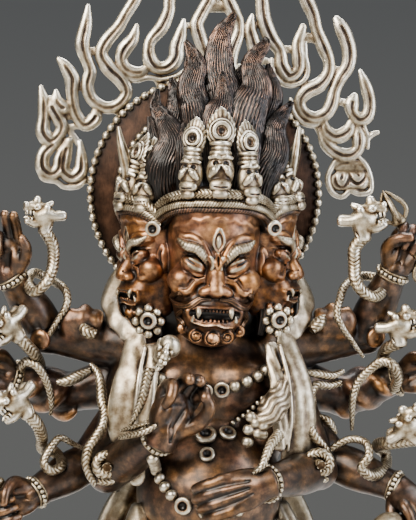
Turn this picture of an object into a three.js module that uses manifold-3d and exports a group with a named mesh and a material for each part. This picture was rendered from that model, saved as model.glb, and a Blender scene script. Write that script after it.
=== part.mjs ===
// A three-faced, eight-armed guardian figure with a flame halo, standing on a lotus base.
// Millimetres, +Z up. The figure faces -Y, and its own left side is +X. The origin is the middle
// of the base's flat underside.
import * as THREE from "three";
import { mergeVertices } from "three/addons/utils/BufferGeometryUtils.js";
import Module from "manifold-3d";

const wasm = await Module();
wasm.setup();

// Driving dimensions.
const GAP = 0.3; // free space between two pieces that meet
const BASE = { halfWidth: 74, halfDepth: 46, height: 26, petals: 14, lobe: 3 };
const SOLE_Z = BASE.height + GAP;
const HALO = { x: 0, y: 24, z: 269.5, outer: 40.3, inner: 29.5, thick: 2.4, bore: 2.9 };
const ARM = { shoulder: 9, upper: 8.4, elbow: 7.4, forearm: 7.2, wrist: 4.9 };
const FINGER = 1.6; // radius of a finger at its root
const GRIP = 1.7; // radius of the shafts that the fists hold
const SERPENT = 2.3; // radius of a serpent's neck
const FLAME = { half: 2.1, tip: 0.8, deep: 1.5 };

const COPPER = new THREE.MeshStandardMaterial({ color: 0x5b3524, metalness: 1, roughness: 0.42 });
const SILVER = new THREE.MeshStandardMaterial({ color: 0xc9c1b2, metalness: 1, roughness: 0.35 });

const vec = (p) => new THREE.Vector3(...p);
const mix = (a, b, share) => a.map((value, i) => value + (b[i] - value) * share);

// Turns a closed three.js geometry into a solid, with its faces outwards.
function solid(geometry) {
  const bare = geometry.clone();
  for (const name of ["normal", "uv"]) bare.deleteAttribute(name);
  const merged = mergeVertices(bare, 1e-4);
  const triVerts = new Uint32Array(merged.index.array);
  const vertProperties = merged.attributes.position.array;
  const made = new wasm.Manifold(new wasm.Mesh({ numProp: 3, vertProperties, triVerts }));
  if (made.volume() > 0) return made;
  for (let i = 0; i < triVerts.length; i += 3) {
    [triVerts[i + 1], triVerts[i + 2]] = [triVerts[i + 2], triVerts[i + 1]];
  }
  return new wasm.Manifold(new wasm.Mesh({ numProp: 3, vertProperties, triVerts }));
}

const join = (solids) => solids.reduce((whole, next) => whole.add(next));
const moved = (whole, matrix) => whole.transform(matrix.elements);

function mesh(name, whole, material) {
  const { numProp, numVert, vertProperties, triVerts } = whole.getMesh();
  const places = new Float32Array(numVert * 3);
  for (let i = 0; i < numVert; i++) {
    places.set(vertProperties.subarray(i * numProp, i * numProp + 3), i * 3);
  }
  const geometry = new THREE.BufferGeometry()
    .setAttribute("position", new THREE.BufferAttribute(places, 3))
    .setIndex(new THREE.BufferAttribute(triVerts, 1));
  geometry.computeVertexNormals();
  const made = new THREE.Mesh(geometry, material);
  made.name = name;
  return made;
}

// Reads a list of values as a smooth function of a share from 0 to 1.
function along(values, share) {
  if (typeof values === "number") return values;
  const place = share * (values.length - 1);
  const low = Math.min(Math.floor(place), values.length - 2);
  return THREE.MathUtils.lerp(values[low], values[low + 1], place - low);
}

// A closed tube through points. Its radii run from the first point to the last. With a facing
// direction it is a strap: thin along that direction, and wide across it.
function tube(points, radii, { sides = 5, steps = points.length, facing = null, thin = null } = {}) {
  const curve = new THREE.CatmullRomCurve3(points.map(vec), false, "centripetal");
  const frames = curve.computeFrenetFrames(steps, false);
  const geometry = new THREE.CylinderGeometry(1, 1, 1, sides, steps);
  const place = geometry.attributes.position;
  for (let i = 0; i < place.count; i++) {
    const share = 0.5 - place.getY(i);
    const step = Math.round(share * steps);
    const centre = curve.getPointAt(share);
    const onward = frames.tangents[step];
    let wide = frames.normals[step];
    let deep = frames.binormals[step];
    if (facing) {
      deep = vec(facing).addScaledVector(onward, -vec(facing).dot(onward)).normalize();
      wide = new THREE.Vector3().crossVectors(onward, deep);
    }
    const reach = along(radii, share);
    const depth = thin === null ? reach : along(thin, share);
    centre.addScaledVector(wide, place.getX(i) * reach);
    centre.addScaledVector(deep, place.getZ(i) * depth);
    place.setXYZ(i, centre.x, centre.y, centre.z);
  }
  return solid(geometry);
}

// An ellipsoid with twenty faces, or with eighty.
function blob(centre, radii, { detail = 0, turn = [0, 0, 0] } = {}) {
  const geometry = new THREE.IcosahedronGeometry(1, detail).scale(...radii);
  geometry.applyQuaternion(new THREE.Quaternion().setFromEuler(new THREE.Euler(...turn)));
  return solid(geometry.translate(...centre));
}

// A closed stack of level rings: each is [x, y, z, half width, half depth].
function stack(rings, sides, lobes = () => 0) {
  const geometry = new THREE.CylinderGeometry(1, 1, 1, sides, rings.length - 1);
  const place = geometry.attributes.position;
  for (let i = 0; i < place.count; i++) {
    const ring = Math.round((0.5 - place.getY(i)) * (rings.length - 1));
    const [x, y, z, width, depth] = rings[ring];
    const [u, v] = [place.getX(i), place.getZ(i)];
    const rim = Math.hypot(u, v) > 0.5 ? lobes(Math.atan2(v, u), ring) : 0;
    place.setXYZ(i, x + u * (width + rim), y - v * (depth + rim), z);
  }
  return solid(geometry);
}

// A shape turned about Z from a profile of [radius, height] that starts and ends on the axis, and
// made larger all round by the room it needs.
function turned(profile, room = 0, sides = 8) {
  const last = profile.length - 1;
  const outline = profile.map(([r, z], i) => {
    const end = i === 0 ? -room : i === last ? room : 0;
    return new THREE.Vector2(r ? r + room * 1.5 : 0, z + end);
  });
  return solid(new THREE.LatheGeometry(outline, sides).rotateX(Math.PI / 2));
}

// LOTUS BASE: two rings of petals round a waist.
function lotusBase() {
  const { halfWidth: w, halfDepth: d, height: h, petals, lobe } = BASE;
  const rings = [
    [0, 0, h, w - 6, d - 6],
    [0, 0, h - 3, w - 4, d - 4],
    [0, 0, h - 9, w - 5, d - 5],
    [0, 0, h - 13, w - 9, d - 9],
    [0, 0, h - 18, w - 4, d - 4],
    [0, 0, 4, w - 1, d - 1],
    [0, 0, 0, w, d],
  ];
  const depthOfLobe = [0, 1, 1, 0.2, 1, 0.4, 0];
  return stack(rings, petals * 2, (angle, ring) => (lobe / 2) * depthOfLobe[ring] * Math.cos(angle * petals));
}

// TORSO, LEGS AND DRESS
const TORSO = [
  [0, 6, 222, 8, 8],
  [0, 4, 215, 24, 13],
  [0, 0, 200, 27, 19],
  [0, -3, 180, 24, 23],
  [0, -5, 164, 26, 27],
  [0, -3, 150, 26, 25],
  [0, 2, 136, 23, 18],
  [0, 3, 128, 14, 11],
];
const LEGS = {
  bent: { hip: [-13, 0, 138], knee: [-42, -20, 103], ankle: [-40, 2, 38], toe: [-51, -19, 29] },
  braced: { hip: [13, 2, 138], knee: [38, -14, 92], ankle: [48, 8, 38], toe: [59, -12, 29] },
};

// The bare leg below the skirt.
function leg({ hip, knee, ankle, toe }) {
  const heel = [ankle[0] + 2, ankle[1] + 4, SOLE_Z + 4];
  const path = [mix(hip, knee, 0.7), knee, mix(knee, ankle, 0.35), ankle, heel];
  return join([tube(path, [15, 13, 12.4, 7.6, 6], { sides: 7, steps: 5 }), footOf(heel, toe)]);
}

// A flat-soled foot from its heel to its toes.
function footOf(heel, toe) {
  const way = Math.atan2(toe[1] - heel[1], toe[0] - heel[0]);
  const long = Math.hypot(toe[0] - heel[0], toe[1] - heel[1]);
  const outline = new THREE.Shape([[-6, 0], [-4, 4.6], [long * 0.6, 6.4], [long + 4, 5], [long + 5, -3.5], [long, -6], [-4, -4.6]].map((p) => new THREE.Vector2(...p)));
  const sole = new THREE.ExtrudeGeometry(outline, { depth: 6, bevelEnabled: false });
  sole.rotateZ(way).translate(heel[0], heel[1], SOLE_Z);
  const instep = blob([...mix(heel, toe, 0.3).slice(0, 2), SOLE_Z + 6], [8.5, 5.2, 5.4], { turn: [0, 0, way] });
  return solid(sole).add(instep);
}

// The skirt over the thighs, its apron, and the cloth ends that hang at both sides.
function skirt() {
  const thigh = ({ hip, knee }) =>
    tube([mix(hip, knee, -0.1), mix(hip, knee, 0.3), mix(hip, knee, 0.62), mix(hip, knee, 0.8)], [17, 20, 19.4, 16], {
      sides: 8, steps: 3,
    });
  const apron = tube([[0, -24, 148], [1, -27, 132], [2, -25, 116], [3, -20, 103]], [14, 12, 9, 4], {
    sides: 4, steps: 3, facing: [0, -1, 0], thin: [3.4, 3.4, 2.8, 1.8],
  });
  const ends = [1, -1].map((hand) =>
    tube([[hand * 17, 8, 170], [hand * 29, 12, 150], [hand * 35, 15, 122], [hand * 41, 16, 96], [hand * 52, 14, 80]], [5, 10, 11, 10, 4], {
      sides: 4, steps: 4, facing: [0.5 * hand, 1, 0], thin: [3.4, 3.4, 2.8, 2.4, 1.8],
    }),
  );
  return join([thigh(LEGS.bent), thigh(LEGS.braced), apron, ...ends]);
}

// The silvered hide over the shoulders: a raised collar behind the neck and a strap down each side.
function hide() {
  const half = (hand) => [
    tube(
      [[hand * 5, 13, 237], [hand * 23, 12, 243], [hand * 35, 4, 234], [hand * 31, -9, 220], [hand * 26, -17, 208]],
      [9, 9, 8, 6, 5], { sides: 4, steps: 4, facing: [0, -0.3, 1], thin: 2.2 },
    ),
    tube([[hand * 27, -13, 216], [hand * 29, -18, 202], [hand * 31, -18, 186], [hand * 28, -19, 172]], [4, 7.4, 7, 4.4], {
      sides: 4, steps: 3, facing: [hand * 0.3, -1, 0], thin: 3.2,
    }),
  ];
  return join([...half(1), ...half(-1)]);
}

// ARMS: side is 1 for the figure's left, reach is the way a hand points, and thumb is the way its
// thumb side faces, which is also the way of a shaft in its fist.
const ARMS = {
  right_raised: { side: -1, shoulder: [-25, 2, 216], elbow: [-57.5, 5, 220], wrist: [-71.5, -2, 242], reach: [-0.12, -0.15, 1], thumb: [1, -0.2, 0] },
  left_raised: { side: 1, shoulder: [25, 2, 216], elbow: [57.5, 5, 219], wrist: [67.5, -2, 243], reach: [0.45, -0.1, 0.89], thumb: [-0.89, 0, 0.45] },
  right_spread: { side: -1, shoulder: [-24, 8, 204], elbow: [-50, 11, 198], wrist: [-71, 4, 205], reach: [-0.92, -0.3, 0.2], thumb: [0, 0, 1] },
  left_spread: { side: 1, shoulder: [24, 8, 204], elbow: [50, 11, 196], wrist: [71, 4, 203], reach: [0.92, -0.3, 0.2], thumb: [0, 0, 1] },
  right_low: { side: -1, shoulder: [-23, 3, 198], elbow: [-44, -2, 174], wrist: [-64, -12, 164], reach: [-0.9, -0.3, -0.25], thumb: [-0.25, 0, 0.95] },
  left_low: { side: 1, shoulder: [23, 3, 198], elbow: [45, -2, 174], wrist: [68, -12, 164.5], reach: [0.45, -0.75, -0.48], thumb: [-0.9, -0.35, -0.2] },
  blessing: { side: -1, shoulder: [-25, -2, 206], elbow: [-37, -14, 172], wrist: [-18, -37, 178], reach: [0.38, -0.12, 0.92], thumb: [0.9, 0.3, -0.36] },
  belly: { side: 1, shoulder: [25, -2, 206], elbow: [38, -14, 172], wrist: [23, -38, 168], reach: [-0.96, -0.1, -0.25], thumb: [-0.2, 0.2, 0.97] },
};

function arm({ shoulder, elbow, wrist }) {
  const path = [shoulder, mix(shoulder, elbow, 0.55), elbow, mix(elbow, wrist, 0.4), wrist];
  return tube(path, [ARM.shoulder, ARM.upper, ARM.elbow, ARM.forearm, ARM.wrist], { sides: 6, steps: 4 });
}

// A hand's own frame: the fingers run along X, the back of the hand faces Y, and the thumb is at +Z.
function handFrame({ side, wrist, reach, thumb }) {
  const x = vec(reach).normalize();
  const z = vec(thumb).addScaledVector(x, -vec(thumb).dot(x)).normalize();
  const y = new THREE.Vector3().crossVectors(z, x).multiplyScalar(side);
  return new THREE.Matrix4().makeBasis(x, y, z).setPosition(...wrist);
}

const PALM = [5.6, 0, 0]; // middle of a palm, before its wrist
const THUMB = [[2.5, -1, 4], [7.5, -3.6, 6.6], [12.5, -6.4, 4.6]];

// A closed fist: the palm and its four folded fingers are one band.
function fist() {
  const band = [[-1, 0, 0], [5, 0.3, 0], [14, 0.4, 0], [15.8, -4.4, 0], [10.2, -6.2, 0]];
  return join([
    tube(band, [ARM.wrist * 0.9, 6.4, 6.6, 6.2, 5.4], { sides: 4, steps: 4, facing: [0.6, 1, 0], thin: [4.6, 3.8, 2.6, 2.4, 2.2] }),
    tube(THUMB, [2.1, 1.3], { sides: 4, steps: 1 }),
  ]);
}

// An open hand, whose four fingers each follow a curl.
function openHand(curls) {
  const roots = [4.5, 1.5, -1.5, -4.4];
  const fingers = roots.map((z, i) =>
    tube([[8, 0.2, z], ...curls[i].map(([x, y]) => [x, y, z])], [FINGER * 1.1, FINGER, FINGER * 0.75], {
      sides: 4, steps: curls[i].length,
    }),
  );
  return join([blob(PALM, [8.6, 3.2, 6.6]), ...fingers, tube(THUMB, [2.1, 1.7, 1.2], { sides: 4, steps: 2 })]);
}

const LONG = [[15, -0.6], [21, -2.6]];
const FOLDED = [[14.4, -1.4], [13.4, -5.6], [10, -5.4]];

// SERPENTS: each winds once round a forearm and rears its head in front.
function wind({ elbow, wrist }, { start = 0.45, end = 0.7, turns = 0.6, phase = 2.6 }) {
  const axis = vec(wrist).sub(vec(elbow));
  const x = new THREE.Vector3(0, 1, 0).cross(axis).normalize();
  const y = axis.clone().normalize().cross(x);
  const count = Math.ceil(turns * 6);
  return Array.from({ length: count + 1 }, (_, i) => {
    const angle = phase + (i / count) * turns * 2 * Math.PI;
    const centre = vec(elbow).addScaledVector(axis, THREE.MathUtils.lerp(start, end, i / count));
    const radius = THREE.MathUtils.lerp(ARM.forearm, ARM.wrist, i / count) + SERPENT * 0.9;
    return centre.addScaledVector(x, Math.cos(angle) * radius).addScaledVector(y, Math.sin(angle) * radius).toArray();
  });
}

const SERPENTS = [
  {
    arm: "right_raised", tail: [[-58, -3, 212], [-52, -6, 221], [-49, -6, 231], [-53, -5, 238]], phase: 2.6,
    neck: [[-57, -6, 246], [-54, -7, 254]], head: [-58.5, -8, 263], look: [-0.95, -0.1, 0.1],
  },
  {
    arm: "left_raised", tail: [[56, -3, 212], [50, -6, 218], [46.5, -6, 228], [49, -5, 235]], phase: 2.6,
    neck: [[50, -6, 246], [51, -7, 255]], head: [57.5, -8, 261.5], look: [0.95, -0.1, 0.1],
  },
  {
    arm: "right_spread", tail: [[-56, 1, 187], [-56, -3, 196], [-58, -5, 206]], phase: 0.5,
    neck: [[-64, -4, 212], [-68, -6, 218]], head: [-72, -9, 226], look: [-0.3, -0.25, 0.9],
  },
  {
    arm: "left_spread", tail: [[52, 1, 184], [51, -4, 192], [54, -5, 202]], phase: 2.5,
    neck: [[60, -3, 208], [65, -5, 216]], head: [70, -9, 223], look: [0.9, -0.25, 0.2],
  },
  {
    arm: "right_low", tail: [[-43.5, -10, 177], [-49, -11, 181], [-54, -13, 180]], phase: 2.2,
    neck: [[-60, -17, 185], [-66, -19, 191]], head: [-71.5, -21, 196], look: [-0.75, -0.3, -0.55],
  },
  {
    arm: "left_low", tail: [[44, -12, 174], [49, -13, 178], [56, -14, 180]], phase: 2.2,
    neck: [[62, -17, 180], [68, -19, 184]], head: [73, -21, 189], look: [0.45, -0.3, 0.8],
  },
];

function serpentHead(at, look) {
  const turn = new THREE.Quaternion().setFromUnitVectors(new THREE.Vector3(1, 0, 0), vec(look).normalize());
  const place = new THREE.Matrix4().makeRotationFromQuaternion(turn).setPosition(...at);
  const skull = tube([[-6, 0, 2.4], [-1, 0, 0.4], [4.5, 0, 0.4], [8.6, 0, 1.4]], [1, 4.2, 3.2, 1.6], { sides: 5, steps: 3 });
  return moved(skull, place);
}

function serpent({ arm: held, tail, neck, head, look, phase }) {
  const path = [...tail, ...wind(ARMS[held], { phase }), ...neck, head];
  const body = tube(path, [0.9, 1.9, 2.1, 2.2, 2.2, SERPENT, SERPENT], { sides: 4, steps: 9 });
  return body.add(serpentHead(head, look));
}

// The free tails beside the chest, and the small serpents of the front arms.
function frontSerpents() {
  const flank = [[-43, -6, 209], [-39, -14, 198], [-37, -18, 190], [-41, -18, 181], [-43, -20, 174], [-38, -24, 167], [-32, -28, 168]];
  const rearing = [[-25, -30, 177], [-22.5, -35, 188], [-22, -38, 198], [-19, -39, 207]];
  const paw = [[30, -20, 200], [25, -27, 193], [19, -30, 189], [14, -31, 187]];
  const sleeve = [[33, -22, 186], [30, -30, 181], [24, -38, 178]];
  const flankLeft = flank.map(([x, y, z]) => [-x, y, z]);
  return join([
    tube(flank, [0.9, 2.4, 2.4, 2.4, 2.6, 3, 3], { sides: 4, steps: 7 }),
    tube(flankLeft, [0.9, 2.4, 2.4, 2.4, 2.6, 3, 3], { sides: 4, steps: 7 }),
    tube(rearing, [1.6, 2.1, 2.2, 2.4], { sides: 4, steps: 4 }),
    serpentHead([-17.5, -39, 210], [0.75, -0.3, -0.4]),
    tube(paw, [3, 5.4, 4.6, 2.6], { sides: 4, steps: 3 }),
    tube(sleeve, [4, 4.8, 2.4], { sides: 4, steps: 2 }),
  ]);
}

// HEADS: each is written facing -Y about its own middle.
function crownSkull(height) {
  return stack(
    [[0, 0.3, height, 0.4, 0.4], [0, 0, height - 7, 4, 1.9], [0, 0, 10.5, 2.6, 2.3], [0, -0.5, 4, 4.3, 3.6], [0, 0, -3, 2.6, 2.2]], 5,
  );
}

function crownBand(steps) {
  const band = [];
  for (let i = 0; i <= 6; i++) {
    const angle = Math.PI * (i / 6);
    band.push([Math.cos(angle) * 18.4, 2 - Math.sin(angle) * 20, 18.6 + Math.sin(angle) * 3.4]);
  }
  return tube(band, 3.2, { sides: 4, steps, facing: [0, 0, 1] });
}

function head(skulls, whole) {
  const parts = [
    stack(
      [[0, 3, 24, 13, 14], [0, 1, 14, 16.4, 17], [0, 0, 0, 16.4, 17.4], [0, -1, -10, 15.4, 16.4], [0, -3, -19, 12, 14], [0, -4, -26, 6, 10]],
      8,
    ),
    tube([[0, -16, 5], [0, -20.6, -3.6], [0, -17.6, -8.6]], [1.6, 3.6, 2.6], { sides: 4, steps: 2 }),
  ];
  for (const hand of whole ? [1, -1] : []) {
    parts.push(
      tube([[hand * 2.4, -16.4, 4.6], [hand * 14, -11.4, 11.4]], [2, 1.2], { sides: 4, steps: 1 }),
      blob([hand * 10.5, -14, -1.5], [4.8, 4, 4.4]),
      tube([[hand * 16, 0, 9], [hand * 17, 0, -1], [hand * 14.6, 0, -10]], [3, 4, 2.4], { sides: 4, steps: 2 }),
    );
  }
  if (whole) parts.push(crownBand(6), tube([[-9, -12, -21], [0, -15.8, -24], [9, -12, -21]], [2.4, 3.2, 2.4], { sides: 4, steps: 2 }));
  for (const [angle, height] of skulls) {
    const place = new THREE.Matrix4()
      .makeRotationZ(angle)
      .multiply(new THREE.Matrix4().makeTranslation(0, whole ? -18.5 : -12, 24))
      .multiply(new THREE.Matrix4().makeRotationX(0.12));
    parts.push(moved(crownSkull(height), place));
  }
  return join(parts);
}

const HEADS = {
  front: { at: [1.5, -11, 241.5], turn: 0, roll: 0.035, scale: 0.96 },
  right: { at: [-15.5, 1, 244], turn: -1.13, roll: 0, scale: 0.78 },
  left: { at: [15.5, 1, 244], turn: 1.13, roll: 0, scale: 0.78 },
};

function heads() {
  const placed = ({ at, turn, roll, scale }) =>
    new THREE.Matrix4()
      .makeTranslation(...at)
      .multiply(new THREE.Matrix4().makeRotationZ(turn))
      .multiply(new THREE.Matrix4().makeRotationY(roll))
      .multiply(new THREE.Matrix4().makeScale(scale, scale, scale));
  const front = moved(head([[-0.44, 25], [0, 30], [0.44, 25]], true), placed(HEADS.front));
  return join([front, ...["right", "left"].map((name) => moved(head([[0, 25]], false), placed(HEADS[name])))]);
}

// HAIR: one mass that sweeps up from the crowns into flame-like locks.
const LOCKS = [
  { root: [-8, -10, 286], tip: [-8.5, -9, 324], lean: -2 },
  { root: [4, -6, 290], tip: [8.5, -7, 334], lean: 3 },
  { root: [13, -9, 286], tip: [19.5, -9, 322], lean: 1 },
  { root: [19, -3, 280], tip: [30, -5, 308.5], lean: 4 },
  { root: [-17, -7, 276], tip: [-18.5, -8, 306], lean: -3 },
  { root: [-5, 8, 284], tip: [-5, 7, 322], lean: -2 },
  { root: [12, 8, 284], tip: [17, 7, 316], lean: 2 },
];

function hair() {
  const mass = stack(
    [[0, 0, 304, 10, 6], [0, -1, 292, 19, 11], [0, 0, 276, 22, 16], [0, 2, 246, 17, 14]], 8,
  );
  const locks = LOCKS.map(({ root, tip, lean }) => {
    const belly = mix(root, tip, 0.55);
    belly[0] -= lean;
    return tube([root, belly, tip], [8, 7, 1], { sides: 3, steps: 2 });
  });
  return join([mass, ...locks]);
}

// The peg behind the hair that the halo hangs on.
const peg = () => tube([[HALO.x, 8, HALO.z], [HALO.x, HALO.y + HALO.thick + 1.5, HALO.z]], HALO.bore - GAP, { sides: 8, steps: 1 });

// FLAME HALO: a copper disc inside a silvered frame of flames.
const FLAMES = [
  [[-50.8, 19.4], [-55, 17.3], [-57.2, 11.5], [-54, 6.5], [-50.4, 7.9], [-49, 13], [-47.9, 19]],
  [[-49, 13], [-49.3, 8.6], [-46.4, 5.8], [-43.2, 7.9], [-42.1, 13], [-43.6, 19.8]],
  [[-57.6, 38.9], [-56.2, 33.8], [-57.6, 23.8], [-53.6, 17.3], [-49.3, 24.5], [-52.9, 31.7]],
  [[-52.2, 37.4], [-52.6, 34.6], [-50.8, 32], [-47.9, 31]],
  [[-50.8, 49], [-46.1, 41], [-45.4, 35.6], [-46.8, 31.7], [-42.1, 24.5], [-38.9, 27.4], [-40, 31.7]],
  [[-40.3, 67.7], [-43.6, 59], [-43.9, 54.4], [-40.3, 43.6], [-40.3, 33.5], [-33.5, 29.5], [-26.3, 34], [-26.6, 40.3], [-34.6, 49.7], [-34.6, 56.9]],
  [[-20.5, 77.8], [-25.2, 68.4], [-27, 63.4], [-33.8, 55.4], [-34.9, 51.8]],
  [[-23, 61.2], [-23.8, 56.9], [-28.8, 50.8], [-28.4, 46.8], [-20.5, 43.2], [-17.6, 45.4]],
  [[-7.2, 82.1], [-10.8, 68.8], [-11.9, 63.4], [-19.1, 54.7], [-19.1, 49.7], [-13.3, 43.2], [-7, 48], [-5.8, 61.6]],
  [[1.8, 88.2], [3.6, 82], [-1.8, 69], [-1.4, 61], [1.8, 53], [-1, 40]],
  [[8.5, 84], [7, 78], [9, 72], [8.3, 67], [14, 59], [9, 40]],
  [[18.4, 65.2], [16.9, 60.5], [19.4, 50], [18, 40]],
  [[21.5, 83], [20, 77.5], [23, 65.5], [23, 59.4], [28.1, 49.3], [20, 38]],
  [[36.4, 58.7], [36.7, 42.5], [31, 39.8], [26.6, 42.5]],
  [[37.5, 79.5], [35.8, 75], [40.3, 57.2], [45.4, 45.4], [35, 35], [36.6, 29], [45.4, 28.8], [48.2, 34.6], [50.8, 44.3], [54.7, 54.4], [49.3, 62.6]],
  [[45.4, 28], [45.4, 24.5], [51.8, 24.5], [52.2, 30.2], [55.1, 36]],
  [[56.9, 44.6], [60.5, 31.7], [55.8, 25.9], [52.9, 29.2]],
  [[41.8, 27], [43.9, 18], [52.6, 14], [60, 21], [63.4, 23.4]],
  [[45.4, 7.9], [45.4, 1], [52.9, 1.4], [54.7, 5], [60.8, 0.7], [57.6, 13], [52.6, 13.5]],
];
// Short webs that hold the ribbons to each other and to the rim: across and up, to across and up.
const WEBS = [
  [[-43, 8], [-37, 10]], [[-48, 19], [-43.5, 22]], [[-50.8, 25], [-45, 28]], [[-33.5, 29.5], [-27, 26.5]], [[-43, 48], [-36, 50]],
  [[-17, 45], [-14, 35]], [[-18, 54], [-24, 56]], [[-6.4, 58], [-1, 62]], [[-1, 66], [9, 66]], [[13, 58], [18, 57]],
  [[22, 57], [17.5, 55]], [[27, 48], [32, 40]], [[33.8, 40], [37, 35]], [[36, 30], [29, 24]], [[41, 26], [34, 17]], [[58, 27], [59, 20]],
  [[50.5, 14], [50.5, 2]],
];

function flameHalo() {
  const at = ([across, up]) => [HALO.x + across, HALO.y + 1.6, HALO.z + up];
  const ribbons = FLAMES.map((path) =>
    tube(path.map(at), [FLAME.tip, FLAME.half, FLAME.half, FLAME.half, FLAME.half, FLAME.half, FLAME.tip * 1.6], {
      sides: 3, steps: path.length, facing: [0, -1, 0], thin: FLAME.deep,
    }),
  );
  const webs = WEBS.map(([a, b]) => tube([at(a), at(b)], 1.4, { sides: 3, steps: 1, facing: [0, -1, 0] }));
  const { outer, thick, bore } = HALO;
  const profile = [[bore, 0], [outer, 0], [outer + 1.5, -1.4], [outer, -thick - 1], [outer - 2.4, -thick], [bore, -thick], [bore, 0]];
  const outline = profile.map(([r, z]) => new THREE.Vector2(r, z));
  const disc = new THREE.LatheGeometry(outline, 30).translate(0, HALO.y + thick, 0).translate(HALO.x, 0, HALO.z);
  return join([solid(disc), ...ribbons, ...webs]);
}

// HELD ATTRIBUTES: each has its grip at its own origin, with its shaft along Z.
const vajra = (room) =>
  turned([[0, -22], [1.2, -17.6], [4.4, -12.6], [2.8, -8.4], [GRIP, -7.4], [GRIP, 7.4], [2.8, 8.4], [4.4, 12.6], [1.2, 17.6], [0, 22]], room);

// A short mace: a ringed grip between a knob and a jewel.
const mace = (room) =>
  turned([[0, -20], [2.6, -18], [2.6, -13.6], [3.4, -13], [3.4, -10.6], [GRIP, -9.6], [GRIP, 7], [3.4, 8.2], [4.4, 14], [1, 21], [0, 21.4]], room);

function noose(room) {
  const loop = new THREE.TorusGeometry(8.5, 1.5 + room * 1.6, 4, 14).rotateX(Math.PI / 2).translate(0, 0, -17.5);
  return turned([[0, -10.4], [2.2, -9], [GRIP, -7.6], [GRIP, 7], [2.6, 8.4], [0, 11]], room).add(solid(loop));
}

// Each held thing, the arm that holds it, and how far its shaft leans in the fist.
const HELD = [
  { name: "held_vajra", arm: "left_raised", make: vajra, lean: 0.6 },
  { name: "held_mace", arm: "left_low", make: mace, lean: 0 },
  { name: "held_noose", arm: "right_low", make: noose, lean: 0 },
];
const GRIP_AT = [11.6, -3, 0];

function grasped({ name, arm: holder, make, lean }) {
  const place = handFrame(ARMS[holder])
    .multiply(new THREE.Matrix4().makeTranslation(...GRIP_AT))
    .multiply(new THREE.Matrix4().makeRotationY(lean));
  return { name, whole: moved(make(0), place), bore: moved(make(GAP), place) };
}

function figure(bores) {
  const parts = [stack(TORSO, 10), hide(), skirt(), leg(LEGS.bent), leg(LEGS.braced), heads(), hair(), frontSerpents(), peg()];
  for (const [name, points] of Object.entries(ARMS)) {
    parts.push(arm(points));
    if (name === "right_raised") parts.push(moved(openHand([LONG, LONG, FOLDED, FOLDED]), handFrame(points)));
    else if (name === "blessing") parts.push(moved(openHand([LONG, FOLDED, FOLDED, LONG]), handFrame(points)));
    else if (name === "belly") parts.push(moved(openHand([LONG, LONG, LONG, LONG]), handFrame(points)));
    else parts.push(moved(fist(), handFrame(points)));
  }
  parts.push(...SERPENTS.map(serpent));
  return bores.reduce((whole, bore) => whole.subtract(bore), join(parts));
}

const statue = new THREE.Group();
const grips = HELD.map(grasped);
statue.add(mesh("lotus_base", lotusBase(), COPPER));
statue.add(mesh("figure", figure(grips.map((grip) => grip.bore)), COPPER));
statue.add(mesh("flame_halo", flameHalo(), SILVER));
for (const { name, whole } of grips) statue.add(mesh(name, whole, SILVER));

export default statue;
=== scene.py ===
"""A three-faced guardian statue in silver-plated copper, dressed over its CAD frame."""
import math

import bpy
import numpy as np
import openvdb
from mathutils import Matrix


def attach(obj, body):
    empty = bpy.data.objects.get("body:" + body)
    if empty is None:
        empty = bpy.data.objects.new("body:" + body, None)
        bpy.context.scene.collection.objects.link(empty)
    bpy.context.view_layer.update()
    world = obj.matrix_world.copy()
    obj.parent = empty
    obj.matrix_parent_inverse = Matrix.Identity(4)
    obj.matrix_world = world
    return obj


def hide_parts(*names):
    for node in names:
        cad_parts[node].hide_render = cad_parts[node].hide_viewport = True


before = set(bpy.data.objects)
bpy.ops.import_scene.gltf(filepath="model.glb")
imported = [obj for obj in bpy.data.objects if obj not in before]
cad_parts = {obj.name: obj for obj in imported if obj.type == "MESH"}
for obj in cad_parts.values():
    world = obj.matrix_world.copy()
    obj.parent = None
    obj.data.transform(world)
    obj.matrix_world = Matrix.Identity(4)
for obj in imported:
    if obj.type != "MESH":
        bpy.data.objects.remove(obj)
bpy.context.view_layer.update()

MM = 0.001
BODY = "root"

# The photograph's view: a long lens a little to the figure's right and above its face.
AIM = np.array([0.0, 0.0, 246.6])
DISTANCE = 1100.0
SEEN_HEIGHT = 187.2
AZIMUTH = math.radians(-5)
ELEVATION = math.radians(3)


def make_camera():
    """The photograph's camera. Its frame is upright, so the sensor's size is that of the height."""
    lens = bpy.data.cameras.new("camera")
    lens.sensor_width = 36
    lens.lens = lens.sensor_width * DISTANCE / SEEN_HEIGHT
    lens.clip_start = 0.05
    lens.clip_end = 20
    camera = bpy.data.objects.new("camera", lens)
    back = np.array([
        math.sin(AZIMUTH) * math.cos(ELEVATION),
        -math.cos(AZIMUTH) * math.cos(ELEVATION),
        math.sin(ELEVATION),
    ])
    camera.location = (AIM + back * DISTANCE) * MM
    camera.rotation_euler = (math.pi / 2 - ELEVATION, 0, AZIMUTH)
    bpy.context.scene.collection.objects.link(camera)
    bpy.context.scene.camera = camera


make_camera()


# MATERIALS

def linear(code):
    """An sRGB hex colour as linear red, green, blue and full alpha."""
    parts = [int(code[i:i + 2], 16) / 255 for i in (1, 3, 5)]
    return [p / 12.92 if p <= 0.04045 else ((p + 0.055) / 1.055) ** 2.4 for p in parts] + [1.0]


def put(tree, kind, inputs=None, **settings):
    """Adds a node. An input is a plain value or another node's output socket."""
    made = tree.nodes.new(kind)
    for name, value in settings.items():
        setattr(made, name, value)
    for name, value in (inputs or {}).items():
        if isinstance(value, bpy.types.NodeSocket):
            tree.links.new(value, made.inputs[name])
        else:
            made.inputs[name].default_value = value
    return made


def calc(tree, operation, *values):
    """A sum worked out in a tree, from plain values or other nodes' outputs."""
    return put(tree, "ShaderNodeMath", dict(enumerate(values)), operation=operation).outputs[0]


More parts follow.
